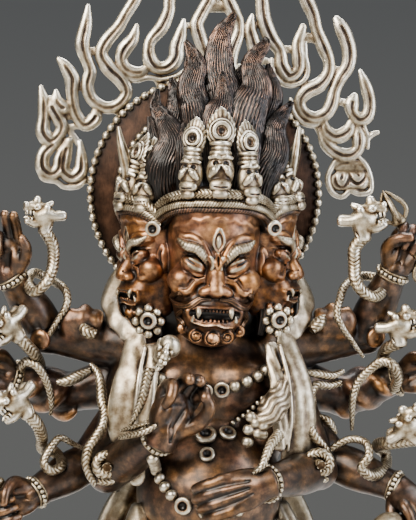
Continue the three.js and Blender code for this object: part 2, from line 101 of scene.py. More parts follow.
def remap(tree, value, low=0.0, high=1.0, to_low=0.0, to_high=1.0):
    """A value carried over from one span to another, and kept inside it."""
    spans = {"From Min": low, "From Max": high, "To Min": to_low, "To Max": to_high}
    return put(tree, "ShaderNodeMapRange", {"Value": value, **spans}).outputs["Result"]


def noise(tree, place, size, detail, roughness=0.5):
    """Mottling whose patches are about a size in millimetres."""
    return put(tree, "ShaderNodeTexNoise", {
        "Vector": place, "Scale": 1 / (size * MM), "Detail": detail, "Roughness": roughness,
    }).outputs["Fac"]


def ramp(tree, value, colours):
    """The colour that a value picks from {place: colour}."""
    node = put(tree, "ShaderNodeValToRGB", {"Fac": value})
    elements = node.color_ramp.elements
    while len(elements) > 1:
        elements.remove(elements[-1])
    for i, (place, colour) in enumerate(colours.items()):
        stop = elements[0] if i == 0 else elements.new(place)
        stop.position = place
        stop.color = linear(colour)
    return node.outputs["Color"]


def new_material(name):
    """A material with an empty node tree."""
    material = bpy.data.materials.new(name)
    material.use_nodes = True
    tree = material.node_tree
    tree.nodes.clear()
    return material, tree


# How far mottling and painted shade from ambient occlusion each move a spot between dark hollow and worn
# edge.
MOTTLE_SHARE = 1.1
PAINTED_SHADE_SHARE = 0.55


def worn_and_shaded(tree, shade_reach, mottle_size, chased=0.42):
    """How bare of patina and how shaded a spot is, from 0 deep in a recess to 1 on an edge: chased relief,
    mottling, and painted shade where ambient occlusion finds recesses.
    """
    place = put(tree, "ShaderNodeTexCoord").outputs["Object"]
    relief = put(tree, "ShaderNodeAttribute", attribute_name="relief").outputs["Fac"]
    # Ambient occlusion darkens the colour in hollows: painted shade, laid over the patina that gathers there.
    occlusion_shade = put(tree, "ShaderNodeAmbientOcclusion", {"Distance": shade_reach * MM}, samples=6).outputs["AO"]
    mottle = noise(tree, place, mottle_size, 4.0, 0.62)
    unshaded = remap(tree, occlusion_shade, low=0.25, high=0.95)
    raised = calc(tree, "MULTIPLY_ADD", relief, chased, 0.0)
    patchy = calc(tree, "MULTIPLY_ADD", mottle, MOTTLE_SHARE, -MOTTLE_SHARE / 2)
    both = calc(tree, "ADD", raised, patchy)
    shaded = calc(tree, "MULTIPLY_ADD", unshaded, PAINTED_SHADE_SHARE, both)
    return place, put(tree, "ShaderNodeClamp", {"Value": shaded}).outputs[0]


def cast_grain(tree, place, size, strength):
    """Fine unevenness of cast and hand-polished metal, as bump."""
    grain = noise(tree, place, size, 3.0, 0.6)
    return put(tree, "ShaderNodeBump", {
        "Strength": strength, "Distance": 0.1 * MM, "Height": grain,
    }).outputs["Normal"]


def mix_colours(tree, share, first, second, blend="MIX"):
    """One colour laid over another by a share."""
    node = put(tree, "ShaderNodeMix", data_type="RGBA", blend_type=blend)
    for socket, value in (("Factor_Float", share), ("A_Color", first), ("B_Color", second)):
        found = next(s for s in node.inputs if s.identifier == socket)
        if isinstance(value, bpy.types.NodeSocket):
            tree.links.new(value, found)
        else:
            found.default_value = value
    return next(s for s in node.outputs if s.identifier == "Result_Color")


DRIFT_TINTS = {0.36: "#e6cbc0", 0.5: "#f3e6d8", 0.64: "#ffe0a6"}


def patina_drift(tree, place, colour):
    """Patina that drifts from reddish brown to golden brown over about a centimetre."""
    drift = noise(tree, place, 11, 3.0)
    return mix_colours(tree, 1.0, colour, ramp(tree, drift, DRIFT_TINTS), "MULTIPLY")


# Copper is rough in its hollows and smooth on its edges, under a film of wax.
ROUGH_HOLLOW = 0.58
SMOOTH_EDGE = 0.32
WAX = 0.55


def finish_surface(tree, colour, roughness, normal, coat):
    """Bare metal, with a film of wax over it where coat is above 0."""
    shader = put(tree, "ShaderNodeBsdfPrincipled", {
        "Base Color": colour, "Metallic": 1.0, "Roughness": roughness, "Normal": normal,
        "Coat Weight": coat, "Coat Roughness": 0.32,
    })
    put(tree, "ShaderNodeOutputMaterial", {"Surface": shader.outputs["BSDF"]})


# Heights of the hair's roots and tips in metres.
HAIR_ROOTS = 0.26
HAIR_TIPS = 0.335
# Brown-patinated copper: near black in hollows, where patina and painted shade gather, chestnut on the body
# and orange where hands and polishing have worn the patina off the high spots. A wax film adds a soft gloss.
COPPER_STOPS = {0.0: "#090706", 0.28: "#201914", 0.5: "#4b3c30", 0.72: "#80664f", 1.0: "#c6a07a"}
# Silver plating: matt cream on the field, bright on edges, with brown tarnish and painted shade in every
# recess.
SILVER_STOPS = {
    0.0: "#1c130b", 0.24: "#483726", 0.42: "#776851", 0.6: "#a2967f", 0.8: "#c8bfab", 1.0: "#efe9da"}


def make_copper(name, shades, chased=0.3, drifts=True):
    """Patinated copper. Where the patina doesn't drift it is hair: darker towards its roots and lighter
    towards its tips, by height.
    """
    material, tree = new_material(name)
    place, wear_and_shade = worn_and_shaded(tree, 3.0, 5.0, chased)
    if not drifts:
        height = put(tree, "ShaderNodeSeparateXYZ", {"Vector": place}).outputs["Z"]
        height_tone = remap(tree, height, low=HAIR_ROOTS, high=HAIR_TIPS, to_low=-0.24, to_high=0.1)
        wear_and_shade = calc(tree, "ADD", wear_and_shade, height_tone)
    colour = ramp(tree, wear_and_shade, shades)
    roughness = remap(tree, wear_and_shade, to_low=ROUGH_HOLLOW, to_high=SMOOTH_EDGE)
    if drifts:
        colour = patina_drift(tree, place, colour)
    finish_surface(tree, colour, roughness, cast_grain(tree, place, 0.7, 0.4), WAX)
    return material


def make_brushed(name, shades):
    """Copper drawn over with a wire brush: upright strokes about half a millimetre apart."""
    material, tree = new_material(name)
    place, wear_and_shade = worn_and_shaded(tree, 3.0, 6.0)
    stretch = put(tree, "ShaderNodeMapping", {"Vector": place, "Scale": (1.0, 1.0, 0.16)}).outputs["Vector"]
    strokes = noise(tree, stretch, 0.5, 3.0, 0.7)
    shade = calc(tree, "MULTIPLY_ADD", strokes, 0.3, -0.2)
    streaked = calc(tree, "ADD", wear_and_shade, shade)
    colour = ramp(tree, streaked, shades)
    roughness = remap(tree, strokes, to_low=0.7, to_high=0.5)
    bump = put(
        tree, "ShaderNodeBump", {"Strength": 0.6, "Distance": 0.2 * MM, "Height": strokes}).outputs["Normal"]
    finish_surface(tree, colour, roughness, bump, 0.1)
    return material


def make_silver(name):
    """Matt silver plating, bright on its edges."""
    material, tree = new_material(name)
    place, wear_and_shade = worn_and_shaded(tree, 1.7, 3.0)
    colour = ramp(tree, wear_and_shade, SILVER_STOPS)
    roughness = remap(tree, wear_and_shade, to_low=0.6, to_high=0.3)
    finish_surface(tree, colour, roughness, cast_grain(tree, place, 0.6, 0.4), 0.0)
    return material


def make_plated(name, shades, chased=0.3):
    """Copper and silver on one casting: the silver attribute says where plating lies, and below 0 it darkens
    the colour: painted shade in hollows such as the mouth, eye slits and sockets and on the arms and hands,
    and a darker jaw, lips and teeth.
    """
    material, tree = new_material(name)
    place, wear_and_shade = worn_and_shaded(tree, 1.8, 4.0, chased)
    plating = put(tree, "ShaderNodeAttribute", attribute_name="silver").outputs["Fac"]
    # Below 0, the silver attribute paints shade into the colour.
    painted_shade = calc(tree, "MINIMUM", plating, 0.0)
    wear_and_shade = calc(tree, "ADD", wear_and_shade, painted_shade)
    edge = remap(tree, plating, low=0.35, high=0.65)
    brown = ramp(tree, wear_and_shade, shades)
    white = ramp(tree, wear_and_shade, SILVER_STOPS)
    mixed = mix_colours(tree, edge, patina_drift(tree, place, brown), white)
    roughness = remap(tree, wear_and_shade, to_low=ROUGH_HOLLOW, to_high=SMOOTH_EDGE)
    finish_surface(tree, mixed, roughness, cast_grain(tree, place, 0.7, 0.4), WAX)
    return material


DARK_HAIR_STOPS = {0.0: "#030202", 0.3: "#0a0807", 0.5: "#1e1917", 0.72: "#443832", 1.0: "#97725b"}
FACE_STOPS = {0.0: "#0b0807", 0.26: "#2a1d15", 0.46: "#6a4c34", 0.66: "#aa8460", 1.0: "#dcb892"}
HALO_STOPS = {0.0: "#0d0907", 0.35: "#21160f", 0.6: "#3b291e", 0.85: "#543c2d", 1.0: "#6d5140"}

copper = make_copper("brown patinated cast copper", COPPER_STOPS)
dark_copper = make_copper("black-brown chased copper hair", DARK_HAIR_STOPS, 0.5, False)
red_copper = make_brushed("red-brown brushed copper halo", HALO_STOPS)
silver = make_silver("aged silver plating")
silver_on_copper = make_plated("silver-plated cast flames with bare grooves", COPPER_STOPS, 0.34)
plated = make_plated("parcel-plated cast copper", COPPER_STOPS)
face_copper = make_plated("polished copper face with silver inlay", FACE_STOPS, 0.15)


# CLAY: forms joined softly on a grid of distances, then skinned with a mesh. Millimetres.

FULL_TURN = 2 * math.pi
FORWARD = [0, -1, 0]
# Distances in millimetres stop counting here.
FAR = 3.0
# Relief is a surface's height over its own surroundings, which are averaged within this depth.
RELIEF_DEPTH = 1.2
FULL_RELIEF = 0.2
# A cut's plating reaches this far past its edge.
CUT_EDGE = 0.2
# How flat neighbouring faces are where they become one.
FLATNESS = 0.012
PIECES = []


class Form:
    """A shape in clay: its box, and its distance function."""

    def __init__(self, low, high, distance):
        self.low = np.array(low, float)
        self.high = np.array(high, float)
        self.distance = distance


def unit(v):
    """A direction, one long."""
    v = np.array(v, float)
    return v / max(np.linalg.norm(v), 1e-9)


def ball(centre, radii, axes=None):
    """An ellipsoid. Its axes are the rows of a turn matrix where it isn't upright."""
    c = np.array(centre, float)
    r = np.array(radii if np.ndim(radii) else [radii] * 3, float)

    def distance(x, y, z):
        p = [x - c[0], y - c[1], z - c[2]]
        if axes is not None:
            p = [row[0] * p[0] + row[1] * p[1] + row[2] * p[2] for row in axes]
        near = np.sqrt(sum((p[i] / r[i]) ** 2 for i in range(3)))
        slope = np.sqrt(sum((p[i] / r[i] ** 2) ** 2 for i in range(3))) + 1e-6
        return near * (near - 1) / slope

    reach = r if axes is None else np.full(3, r.max())
    return Form(c - reach, c + reach, distance)


def ring(centre, facing, major, minor):
    """A round ring that faces a direction."""
    c = np.array(centre, float)
    n = unit(facing)

    def distance(x, y, z):
        p = [x - c[0], y - c[1], z - c[2]]
        along = n[0] * p[0] + n[1] * p[1] + n[2] * p[2]
        across = np.sqrt(np.maximum(p[0] ** 2 + p[1] ** 2 + p[2] ** 2 - along ** 2, 0))
        return np.sqrt((across - major) ** 2 + along ** 2) - minor

    return Form(c - major - minor, c + major + minor, distance)


def smooth_path(points, values, step):
    """Points along a curve through the given points, about a step apart, with values carried along."""
    points = np.array(points, float)
    values = np.array(values if np.ndim(values) else [values] * len(points), float)
    if len(values) != len(points):
        share = np.linspace(0, len(values) - 1, len(points))
        values = np.interp(share, np.arange(len(values)), values)
    knots = np.column_stack([points, values])
    padded = np.vstack([2 * knots[0] - knots[1], knots, 2 * knots[-1] - knots[-2]])
    made = []
    for a, b, c, d in zip(padded, padded[1:], padded[2:], padded[3:]):
        count = max(1, int(math.ceil(np.linalg.norm(c[:3] - b[:3]) / step)))
        t = (np.arange(count) / count)[:, None]
        made.append(0.5 * (
            2 * b + (c - a) * t + (2 * a - 5 * b + 4 * c - d) * t ** 2 + (3 * b - a - 3 * c + d) * t ** 3))
    made.append(knots[-1:])
    made = np.vstack(made)
    return made[:, :3], np.maximum(made[:, 3], 0.02)


def limb(points, radii, facing=None, thin=1.0, step=2.0):
    """A tube through points. With a facing direction it is thin along it, as a share of its width."""
    path, reach = smooth_path(points, radii, step)
    forms = []
    for a, b, ra, rb in zip(path, path[1:], reach, reach[1:]):
        forms.append(segment(a, b, ra, rb, None if facing is None else unit(facing), thin))
    return forms


def stroke(points, radii, **shape):
    """A limb followed closely, in steps of a millimetre."""
    return limb(points, radii, step=1, **shape)


def segment(a, b, ra, rb, facing, thin):
    """One stretch of a limb between two points, with a radius at each."""
    ab = b - a
    long = max(float(ab @ ab), 1e-9)
    deep = None
    if facing is not None:
        deep = unit(facing - ab * (facing @ ab) / long)

    def distance(x, y, z):
        p = [x - a[0], y - a[1], z - a[2]]
        h = np.clip((p[0] * ab[0] + p[1] * ab[1] + p[2] * ab[2]) / long, 0, 1)
        q = [p[i] - h * ab[i] for i in range(3)]
        r = ra + (rb - ra) * h
        square = q[0] ** 2 + q[1] ** 2 + q[2] ** 2
        if deep is None:
            return np.sqrt(square) - r
        d = q[0] * deep[0] + q[1] * deep[1] + q[2] * deep[2]
        near = np.sqrt(np.maximum(square - d ** 2, 0) + (d / thin) ** 2)
        return (near - r) * np.where(near > 1e-6, np.sqrt(square) / (near + 1e-6), 1)

    reach = max(ra, rb)
    return Form(np.minimum(a, b) - reach, np.maximum(a, b) + reach, distance)


def mirrored(make):
    """The forms that make(side) gives for both sides, 1 and -1."""
    return [make(1), make(-1)]


def flat(forms):
    """Nested lists of forms as one list."""
    return [forms] if isinstance(forms, Form) else [one for part in forms for one in flat(part)]


class Clay:
    """A block of clay between two corners, on a grid of one voxel size."""

    def __init__(self, low, high, voxel):
        self.low = np.array(low, float)
        self.voxel = voxel
        counts = [int(math.ceil((b - a) / voxel)) + 1 for a, b in zip(low, high)]
        self.depth = np.full(counts, FAR, np.float32)
        self.silver = np.zeros(counts, np.float32)

    def window(self, low, high):
        """The stretch of the grid between two corners, and its coordinates."""
        spans = []
        grids = []
        for axis in range(3):
            count = self.depth.shape[axis]
            first = int((low[axis] - self.low[axis]) / self.voxel)
            last = int((high[axis] - self.low[axis]) / self.voxel) + 2
            first, last = max(0, min(first, count)), max(0, min(last, count))
            spans.append(slice(first, last))
            place = self.low[axis] + self.voxel * np.arange(first, last, dtype=np.float32)
            grids.append(place.reshape([-1 if i == axis else 1 for i in range(3)]))
        return tuple(spans), grids

    def shape(self, forms, room):
        """The distance to the nearest of some forms, within their common box."""
        forms = flat(forms)
        low = np.min([f.low for f in forms], axis=0) - room
        high = np.max([f.high for f in forms], axis=0) + room
        spans, _ = self.window(low, high)
        near = np.full([s.stop - s.start for s in spans], FAR, np.float32)
        for form in forms:
            inner, grids = self.window(form.low - room, form.high + room)
            if any(s.stop <= s.start for s in inner):
                continue
            local = tuple(slice(i.start - s.start, i.stop - s.start) for i, s in zip(inner, spans))
            near[local] = np.minimum(near[local], form.distance(*grids))
        return spans, near

    def plate(self, spans, silver, inside):
        """Plates what lies inside, where it is above 0 in voxels."""
        self.silver[spans] += (silver - self.silver[spans]) * np.clip(0.5 + inside, 0, 1)

    def add(self, forms, soft=0.6, silver=0.0, carve=None):
        """Joins forms to the clay with a soft fillet. carve(x, y, z) gives a depth to take off them."""
        spans, fresh = self.shape(forms, max(soft, 1.0) + 2 * self.voxel)
        if fresh.size == 0:
            return
        if carve is not None:
            _, grids = self.window(
                self.low + self.voxel * np.array([s.start for s in spans]) + 1e-6,
                self.low + self.voxel * (np.array([s.stop for s in spans]) - 2) + 1e-6,
            )
            fresh = fresh + carve(*grids)
        old = self.depth[spans]
        near = np.clip(0.5 + 0.5 * (old - fresh) / soft, 0, 1)
        self.plate(spans, silver, (old - fresh) / self.voxel)
        self.depth[spans] = old + (fresh - old) * near - soft * near * (1 - near)

    def cut(self, forms, soft=0.4, silver=None):
        """Takes forms out of the clay. silver says how plated the cut's floor is: below 0, how much painted
        shade darkens it.
        """
        spans, fresh = self.shape(forms, max(soft, 1.0) + 2 * self.voxel)
        if fresh.size == 0:
            return
        old = self.depth[spans]
        if silver is not None:
            self.plate(spans, silver, (CUT_EDGE - fresh) / self.voxel)
        near = np.clip(0.5 - 0.5 * (old + fresh) / soft, 0, 1)
        self.depth[spans] = old + (-fresh - old) * near + soft * near * (1 - near)

    def front(self, x, z):
        """The clay's front surface at x and z, or None where there is no clay."""
        i = int(round((x - self.low[0]) / self.voxel))
        k = int(round((z - self.low[2]) / self.voxel))
        column = self.depth[i, :, k]
        inside = np.nonzero(column < 0)[0]
        if len(inside) == 0:
            return None
        j = inside[0]
        share = column[j] / (column[j] - column[j - 1]) if j > 0 else 0
        return self.low[1] + self.voxel * (j - share)

    def skin(self, keep=0.35, reach=0.8):
        """The clay's surface: points in millimetres, faces, and its relief and plating.

        keep is the share of its faces kept. Relief is measured over reach millimetres.
        """
        grid = openvdb.FloatGrid()
        grid.background = FAR
        grid.copyFromArray(np.ascontiguousarray(self.depth))
        points, triangles, quads = grid.convertToPolygons(isovalue=0.0, adaptivity=FLATNESS)
        near = np.clip(self.depth, -RELIEF_DEPTH, RELIEF_DEPTH)
        relief = averaged(near, max(1, round(reach / self.voxel)))
        attributes = {
            "relief": np.clip(sampled(relief, points) / (FULL_RELIEF * reach), -1, 1),
            "silver": np.clip(sampled(self.silver, points), -1, 1),
        }
        return thinned((points * self.voxel + self.low, [triangles, quads], attributes), keep)

    def piece(self, name, material, keep=0.35, reach=0.8):
        """The clay's surface as a piece."""
        places, faces, attributes = self.skin(keep, reach)
        new_piece(name, places, faces, material, attributes)


def averaged(field, reach):
    """A field averaged over a cube of that reach in voxels."""
    wide = 2 * reach + 1
    for axis in range(3):
        room = [(reach + 1, reach) if a == axis else (0, 0) for a in range(3)]
        total = np.cumsum(np.pad(field, room, mode="edge"), axis=axis, dtype=np.float64)
        ahead = np.take(total, np.arange(wide, total.shape[axis]), axis=axis)
        behind = np.take(total, np.arange(total.shape[axis] - wide), axis=axis)
        field = ((ahead - behind) / wide).astype(np.float32)
    return field


def sampled(field, places):
    """A field's values at places between its grid points."""
    limit = np.array(field.shape) - 2
    base = np.clip(np.floor(places).astype(int), 0, limit)
    share = np.clip(places - base, 0, 1)
    value = np.zeros(len(places))
    for corner in np.ndindex(2, 2, 2):
        weight = np.prod([share[:, i] if corner[i] else 1 - share[:, i] for i in range(3)], axis=0)
        value += weight * field[base[:, 0] + corner[0], base[:, 1] + corner[1], base[:, 2] + corner[2]]
    return value


def new_piece(name, places, faces, material, attributes=None):
    """A smoothly shaded mesh object at the origin from points in millimetres and arrays of faces."""
    mesh = bpy.data.meshes.new(name)
    faces = [np.array(f, np.int32) for f in faces if len(f)]
    loops = np.concatenate([f.ravel() for f in faces])
    sizes = np.concatenate([np.full(len(f), f.shape[1], np.int32) for f in faces])
    mesh.vertices.add(len(places))
    mesh.vertices.foreach_set("co", (np.asarray(places, np.float32) * MM).ravel())
    mesh.loops.add(len(loops))
    mesh.loops.foreach_set("vertex_index", loops)
    mesh.polygons.add(len(sizes))
    mesh.polygons.foreach_set("loop_start", np.concatenate([[0], np.cumsum(sizes)[:-1]]).astype(np.int32))
    mesh.polygons.foreach_set("use_smooth", np.ones(len(sizes), bool))
    mesh.update(calc_edges=True)
    for key, values in (attributes or {}).items():
        mesh.attributes.new(key, "FLOAT", "POINT").data.foreach_set("value", np.asarray(values, np.float32))
    mesh.materials.append(material)
    piece = bpy.data.objects.new(name, mesh)
    bpy.context.scene.collection.objects.link(piece)
    PIECES.append(piece)
    return piece


def thinned(skin, keep):
    """A skin with that share of its faces kept, fewest where it is flattest."""
    points, faces, attributes = skin
    rough = new_piece("rough", points, faces, None, attributes)
    PIECES.remove(rough)
    rough.modifiers.new("thin", "DECIMATE").ratio = keep
    mesh = bpy.data.meshes.new_from_object(rough.evaluated_get(bpy.context.evaluated_depsgraph_get()))
    bpy.data.objects.remove(rough)
    mesh.calc_loop_triangles()
    places = np.empty((len(mesh.vertices), 3), np.float32)
    mesh.vertices.foreach_get("co", places.ravel())
    corners = np.empty((len(mesh.loop_triangles), 3), np.int32)
    mesh.loop_triangles.foreach_get("vertices", corners.ravel())
    kept = {key: np.empty(len(places), np.float32) for key in attributes}
    for key, values in kept.items():
        mesh.attributes[key].data.foreach_get("value", values)
    bpy.data.meshes.remove(mesh)
    return places / MM, [corners], kept


def turned_to(facing=0.0, roll=0.0, nod=0.0, scale=1.0, at=(0, 0, 0)):
    """Moves points that were made facing -Y: scaled, rolled, nodded, turned about Z and set in place."""
    c, s = math.cos(roll), math.sin(roll)
    rolled = np.array([[c, 0, s], [0, 1, 0], [-s, 0, c]])
    c, s = math.cos(nod), math.sin(nod)
    nodded = np.array([[1, 0, 0], [0, c, -s], [0, s, c]])
    c, s = math.cos(facing), math.sin(facing)
    faced = np.array([[c, -s, 0], [s, c, 0], [0, 0, 1]])
    return faced @ nodded @ rolled * scale, np.array(at, float)


def looking(along, up, at, scale=1.0):
    """Moves points so that their X runs along a direction, and their Z as near as it can to another."""
    x = unit(along)
    up = np.array(up, float)
    z = unit(up - x * (up @ x))
    return np.column_stack([x, np.cross(z, x), z]) * scale, np.array(at, float)


def then(outer, inner):
    """One placing after another."""
    return outer[0] @ inner[0], outer[0] @ inner[1] + outer[1]


def put_at(place, points):
    """Points moved to a place."""
    return np.asarray(points, float) @ place[0].T + place[1]


def copies(name, skin, places, material):
    """One piece made of a skin set in several places."""
    points, faces, attributes = skin
    groups = []
    for kind in range(len(faces)):
        groups.append(np.vstack([faces[kind] + i * len(points) for i in range(len(places))]))
    return new_piece(
        name, np.vstack([put_at(place, points) for place in places]), groups, material,
        {key: np.tile(values, len(places)) for key, values in attributes.items()},
    )


def stack(name, foot, rings, top, material):
    """A closed shape from rings of points, one above another, between a foot and a top."""
    sides = len(rings[0])
    upper = 1 + (len(rings) - 1) * sides
    last = 1 + len(rings) * sides
    caps = []
    walls = []
    for i in range(sides):
        j = (i + 1) % sides
        caps += [(0, 1 + j, 1 + i), (last, upper + i, upper + j)]
        for first in range(1, upper, sides):
            walls.append((first + i, first + j, first + sides + j, first + sides + i))
    new_piece(name, np.vstack([[foot], *rings, [top]]), [np.array(caps), np.array(walls)], material)


def lathe(name, profile, at, axis, material, sides):
    """A closed shape turned about an axis from a profile of (radius, distance along the axis)."""
    n = unit(axis)
    u = unit(np.cross(n, [0, 0, 1]) if abs(n[2]) < 0.9 else [1, 0, 0])
    v = np.cross(n, u)
    angle = np.arange(sides) * 2 * math.pi / sides
    rim = np.cos(angle)[:, None] * u + np.sin(angle)[:, None] * v
    rings = [np.array(at) + n * d + rim * r for r, d in profile[1:-1]]
    stack(name, np.array(at) + n * profile[0][1], rings, np.array(at) + n * profile[-1][1], material)


# STRANDS AND BEADS: Geometry Nodes trees that run a chased strand or a string of beads along paths.

def new_tree(name, sockets):
    """An empty Geometry Nodes tree with geometry in and out, and named inputs for its sizes."""
    tree = bpy.data.node_groups.new(name, "GeometryNodeTree")
    tree.interface.new_socket("Geometry", in_out="INPUT", socket_type="NodeSocketGeometry")
    for label, kind in sockets.items():
        tree.interface.new_socket(label, in_out="INPUT", socket_type=f"NodeSocket{kind}")
    tree.interface.new_socket("Geometry", in_out="OUTPUT", socket_type="NodeSocketGeometry")
    return tree, put(tree, "NodeGroupInput").outputs


def end_tree(tree, geometry, material):
    """Every tree ends in real geometry with its material set."""
    real = put(tree, "GeometryNodeRealizeInstances", {"Geometry": geometry}).outputs["Geometry"]
    smooth = put(tree, "GeometryNodeSetShadeSmooth", {"Geometry": real}).outputs["Geometry"]
    done = put(
        tree, "GeometryNodeSetMaterial", {"Geometry": smooth, "Material": material}).outputs["Geometry"]
    put(tree, "NodeGroupOutput", {"Geometry": done})


def named(tree, name):
    """A named number carried by the points."""
    return put(
        tree, "GeometryNodeInputNamedAttribute", {"Name": name}, data_type="FLOAT").outputs["Attribute"]


# How often a herringbone folds round a strand, and how strongly ridges show as worn.
HERRINGBONE_FOLDS = 6
RIDGE_RELIEF = 1.6


def marked(tree, geometry, name, value):
    """Geometry whose points carry a named number."""
    return put(tree, "GeometryNodeStoreNamedAttribute", {
        "Geometry": geometry, "Name": name, "Value": value,
    }, data_type="FLOAT", domain="POINT").outputs["Geometry"]


def strand_tree():
    """A ridged tube. Ridges turn with Strands, fold to a herringbone with Chevron, and repeat along it."""
    tree, given = new_tree("chased strand", {
        "Sides": "Int", "Ridges per metre": "Float", "Strands": "Float",
        "Chevron": "Float", "Depth": "Float", "Flatness": "Float",
        "Relief": "Float", "Material": "Material",
    })
    path = put(tree, "GeometryNodeMeshToCurve", {"Mesh": given["Geometry"]}).outputs["Curve"]
    circle = put(
        tree, "GeometryNodeCurvePrimitiveCircle", {"Resolution": given["Sides"], "Radius": 1.0}
    ).outputs["Curve"]
    squash = put(tree, "ShaderNodeCombineXYZ", {"X": 1.0, "Y": given["Flatness"], "Z": 1.0}).outputs["Vector"]
    squashed = put(tree, "GeometryNodeTransform", {"Geometry": circle, "Scale": squash}).outputs["Geometry"]
    turn = put(tree, "GeometryNodeSplineParameter").outputs["Factor"]
    profile = marked(tree, squashed, "around", turn)
    tube = put(tree, "GeometryNodeCurveToMesh", {
        "Curve": path, "Profile Curve": profile, "Scale": named(tree, "reach"), "Fill Caps": True,
    }).outputs["Mesh"]
    around = named(tree, "around")
    folded = calc(tree, "PINGPONG", around, 1 / HERRINGBONE_FOLDS)
    slant = calc(tree, "MULTIPLY", folded, given["Chevron"])
    drift = put(tree, "ShaderNodeTexNoise", {"Scale": 1 / (8 * MM)}).outputs["Fac"]
    uneven = calc(tree, "MULTIPLY_ADD", drift, 0.09, around)
    twist = calc(tree, "MULTIPLY_ADD", uneven, given["Strands"], slant)
    phase = calc(tree, "MULTIPLY_ADD", named(tree, "run"), given["Ridges per metre"], twist)
    angle = calc(tree, "MULTIPLY", phase, math.pi)
    wave = calc(tree, "ABSOLUTE", calc(tree, "SINE", angle))
    height = calc(tree, "ADD", wave, -0.55)
    rise = calc(tree, "MULTIPLY", height, given["Depth"])
    out = put(tree, "GeometryNodeInputNormal").outputs["Normal"]
    push = put(tree, "ShaderNodeVectorMath", {0: out, "Scale": rise}, operation="SCALE").outputs["Vector"]
    carved = put(tree, "GeometryNodeSetPosition", {"Geometry": tube, "Offset": push}).outputs["Geometry"]
    relief = calc(tree, "MULTIPLY", height, given["Relief"])
    end_tree(tree, marked(tree, carved, "relief", relief), given["Material"])
    return tree


# Beads stand out all over, so they are rubbed bright.
BEAD_RELIEF = 0.6


def bead_tree():
    """Beads threaded on a path at even spacing, each stretched along it."""
    tree, given = new_tree("threaded beads", {
        "Spacing": "Float", "Length": "Float", "Width": "Float",
        "Fineness": "Int", "Material": "Material",
    })
    path = put(tree, "GeometryNodeMeshToCurve", {"Mesh": given["Geometry"]}).outputs["Curve"]
    points = put(
        tree, "GeometryNodeCurveToPoints", {"Curve": path, "Length": given["Spacing"]}, mode="LENGTH")
    bead = put(
        tree, "GeometryNodeMeshIcoSphere", {"Radius": 1.0, "Subdivisions": given["Fineness"]}).outputs["Mesh"]
    size = put(
        tree, "ShaderNodeCombineXYZ", {"X": given["Width"], "Y": given["Width"], "Z": given["Length"]}
    ).outputs["Vector"]
    turn = put(
        tree, "FunctionNodeAlignRotationToVector", {"Vector": points.outputs["Tangent"]}, axis="Z"
    ).outputs["Rotation"]
    placed = put(tree, "GeometryNodeInstanceOnPoints", {
        "Points": points.outputs["Points"], "Instance": bead, "Rotation": turn, "Scale": size,
    }).outputs["Instances"]
    real = put(tree, "GeometryNodeRealizeInstances", {"Geometry": placed}).outputs["Geometry"]
    end_tree(tree, marked(tree, real, "relief", BEAD_RELIEF), given["Material"])
    return tree


def run_tree(tree, name, paths, sizes):
    """Runs a tree over paths in millimetres, each (points, radii), and keeps a plain piece of it."""
    places = []
    edges = []
    reach = []
    run = []
    for way, wide in paths:
        first = len(places)
        length = np.concatenate([[0], np.cumsum(np.linalg.norm(np.diff(way, axis=0), axis=1))])
        places += list(way * MM)
        reach += list(wide * MM)
        run += list(length * MM)
        edges += [(first + i, first + i + 1) for i in range(len(way) - 1)]
    mesh = bpy.data.meshes.new(name)
    mesh.from_pydata([tuple(p) for p in places], edges, [])
    for key, values in (("reach", reach), ("run", run)):
        mesh.attributes.new(key, "FLOAT", "POINT").data.foreach_set("value", values)
    guide = bpy.data.objects.new(name + " guide", mesh)
    bpy.context.scene.collection.objects.link(guide)
    modifier = guide.modifiers.new("tree", "NODES")
    modifier.node_group = tree
    for item in tree.interface.items_tree:
        if item.item_type == "SOCKET" and item.in_out == "INPUT" and item.name in sizes:
            modifier[item.identifier] = sizes[item.name]
    ready = guide.evaluated_get(bpy.context.evaluated_depsgraph_get())
    plain = bpy.data.meshes.new_from_object(ready)
    bpy.data.objects.remove(guide)
    piece = bpy.data.objects.new(name, plain)
    bpy.context.scene.collection.objects.link(piece)
    PIECES.append(piece)


# How often a bead's faces are divided.
BEAD_FINENESS = 2
STRAND = strand_tree()
BEADS = bead_tree()


def strand(
    name, paths, material, pitch=0.0, strands=0.0, chevron=0.0, depth=0.15, sides=16, step=0.5, flatness=1.0
):
    """Chased strands along paths, each (points, radii). Without pitch or strands they are plain wires."""
    ways = [smooth_path(points, radii, step) for points, radii in paths]
    chased = bool(pitch or strands)
    run_tree(STRAND, name, ways, {
        "Sides": sides, "Ridges per metre": 1 / (pitch * MM) if pitch else 0.0, "Strands": float(strands),
        "Chevron": float(chevron), "Depth": depth * MM if chased else 0.0, "Flatness": flatness,
        "Relief": RIDGE_RELIEF if chased else 0.0, "Material": material,
    })


def beads(name, paths, material, spacing, width, length=None):
    """Beads along paths, each a list of points."""
    ways = [smooth_path(points, 1.0, 0.4) for points in paths]
    run_tree(BEADS, name, ways, {
        "Spacing": spacing * MM, "Width": width * MM, "Length": (length or width) * MM,
        "Fineness": BEAD_FINENESS, "Material": material,
    })


# FLAME HALO: silvered flames round a brushed copper disc with two rows of beads.

HALO = {"x": 0.9, "y": 24.0, "z": 269.8, "outer": 41.6, "inner": 31.9, "thick": 2.4}
RIBBON = 2.7
GROOVE = 0.82

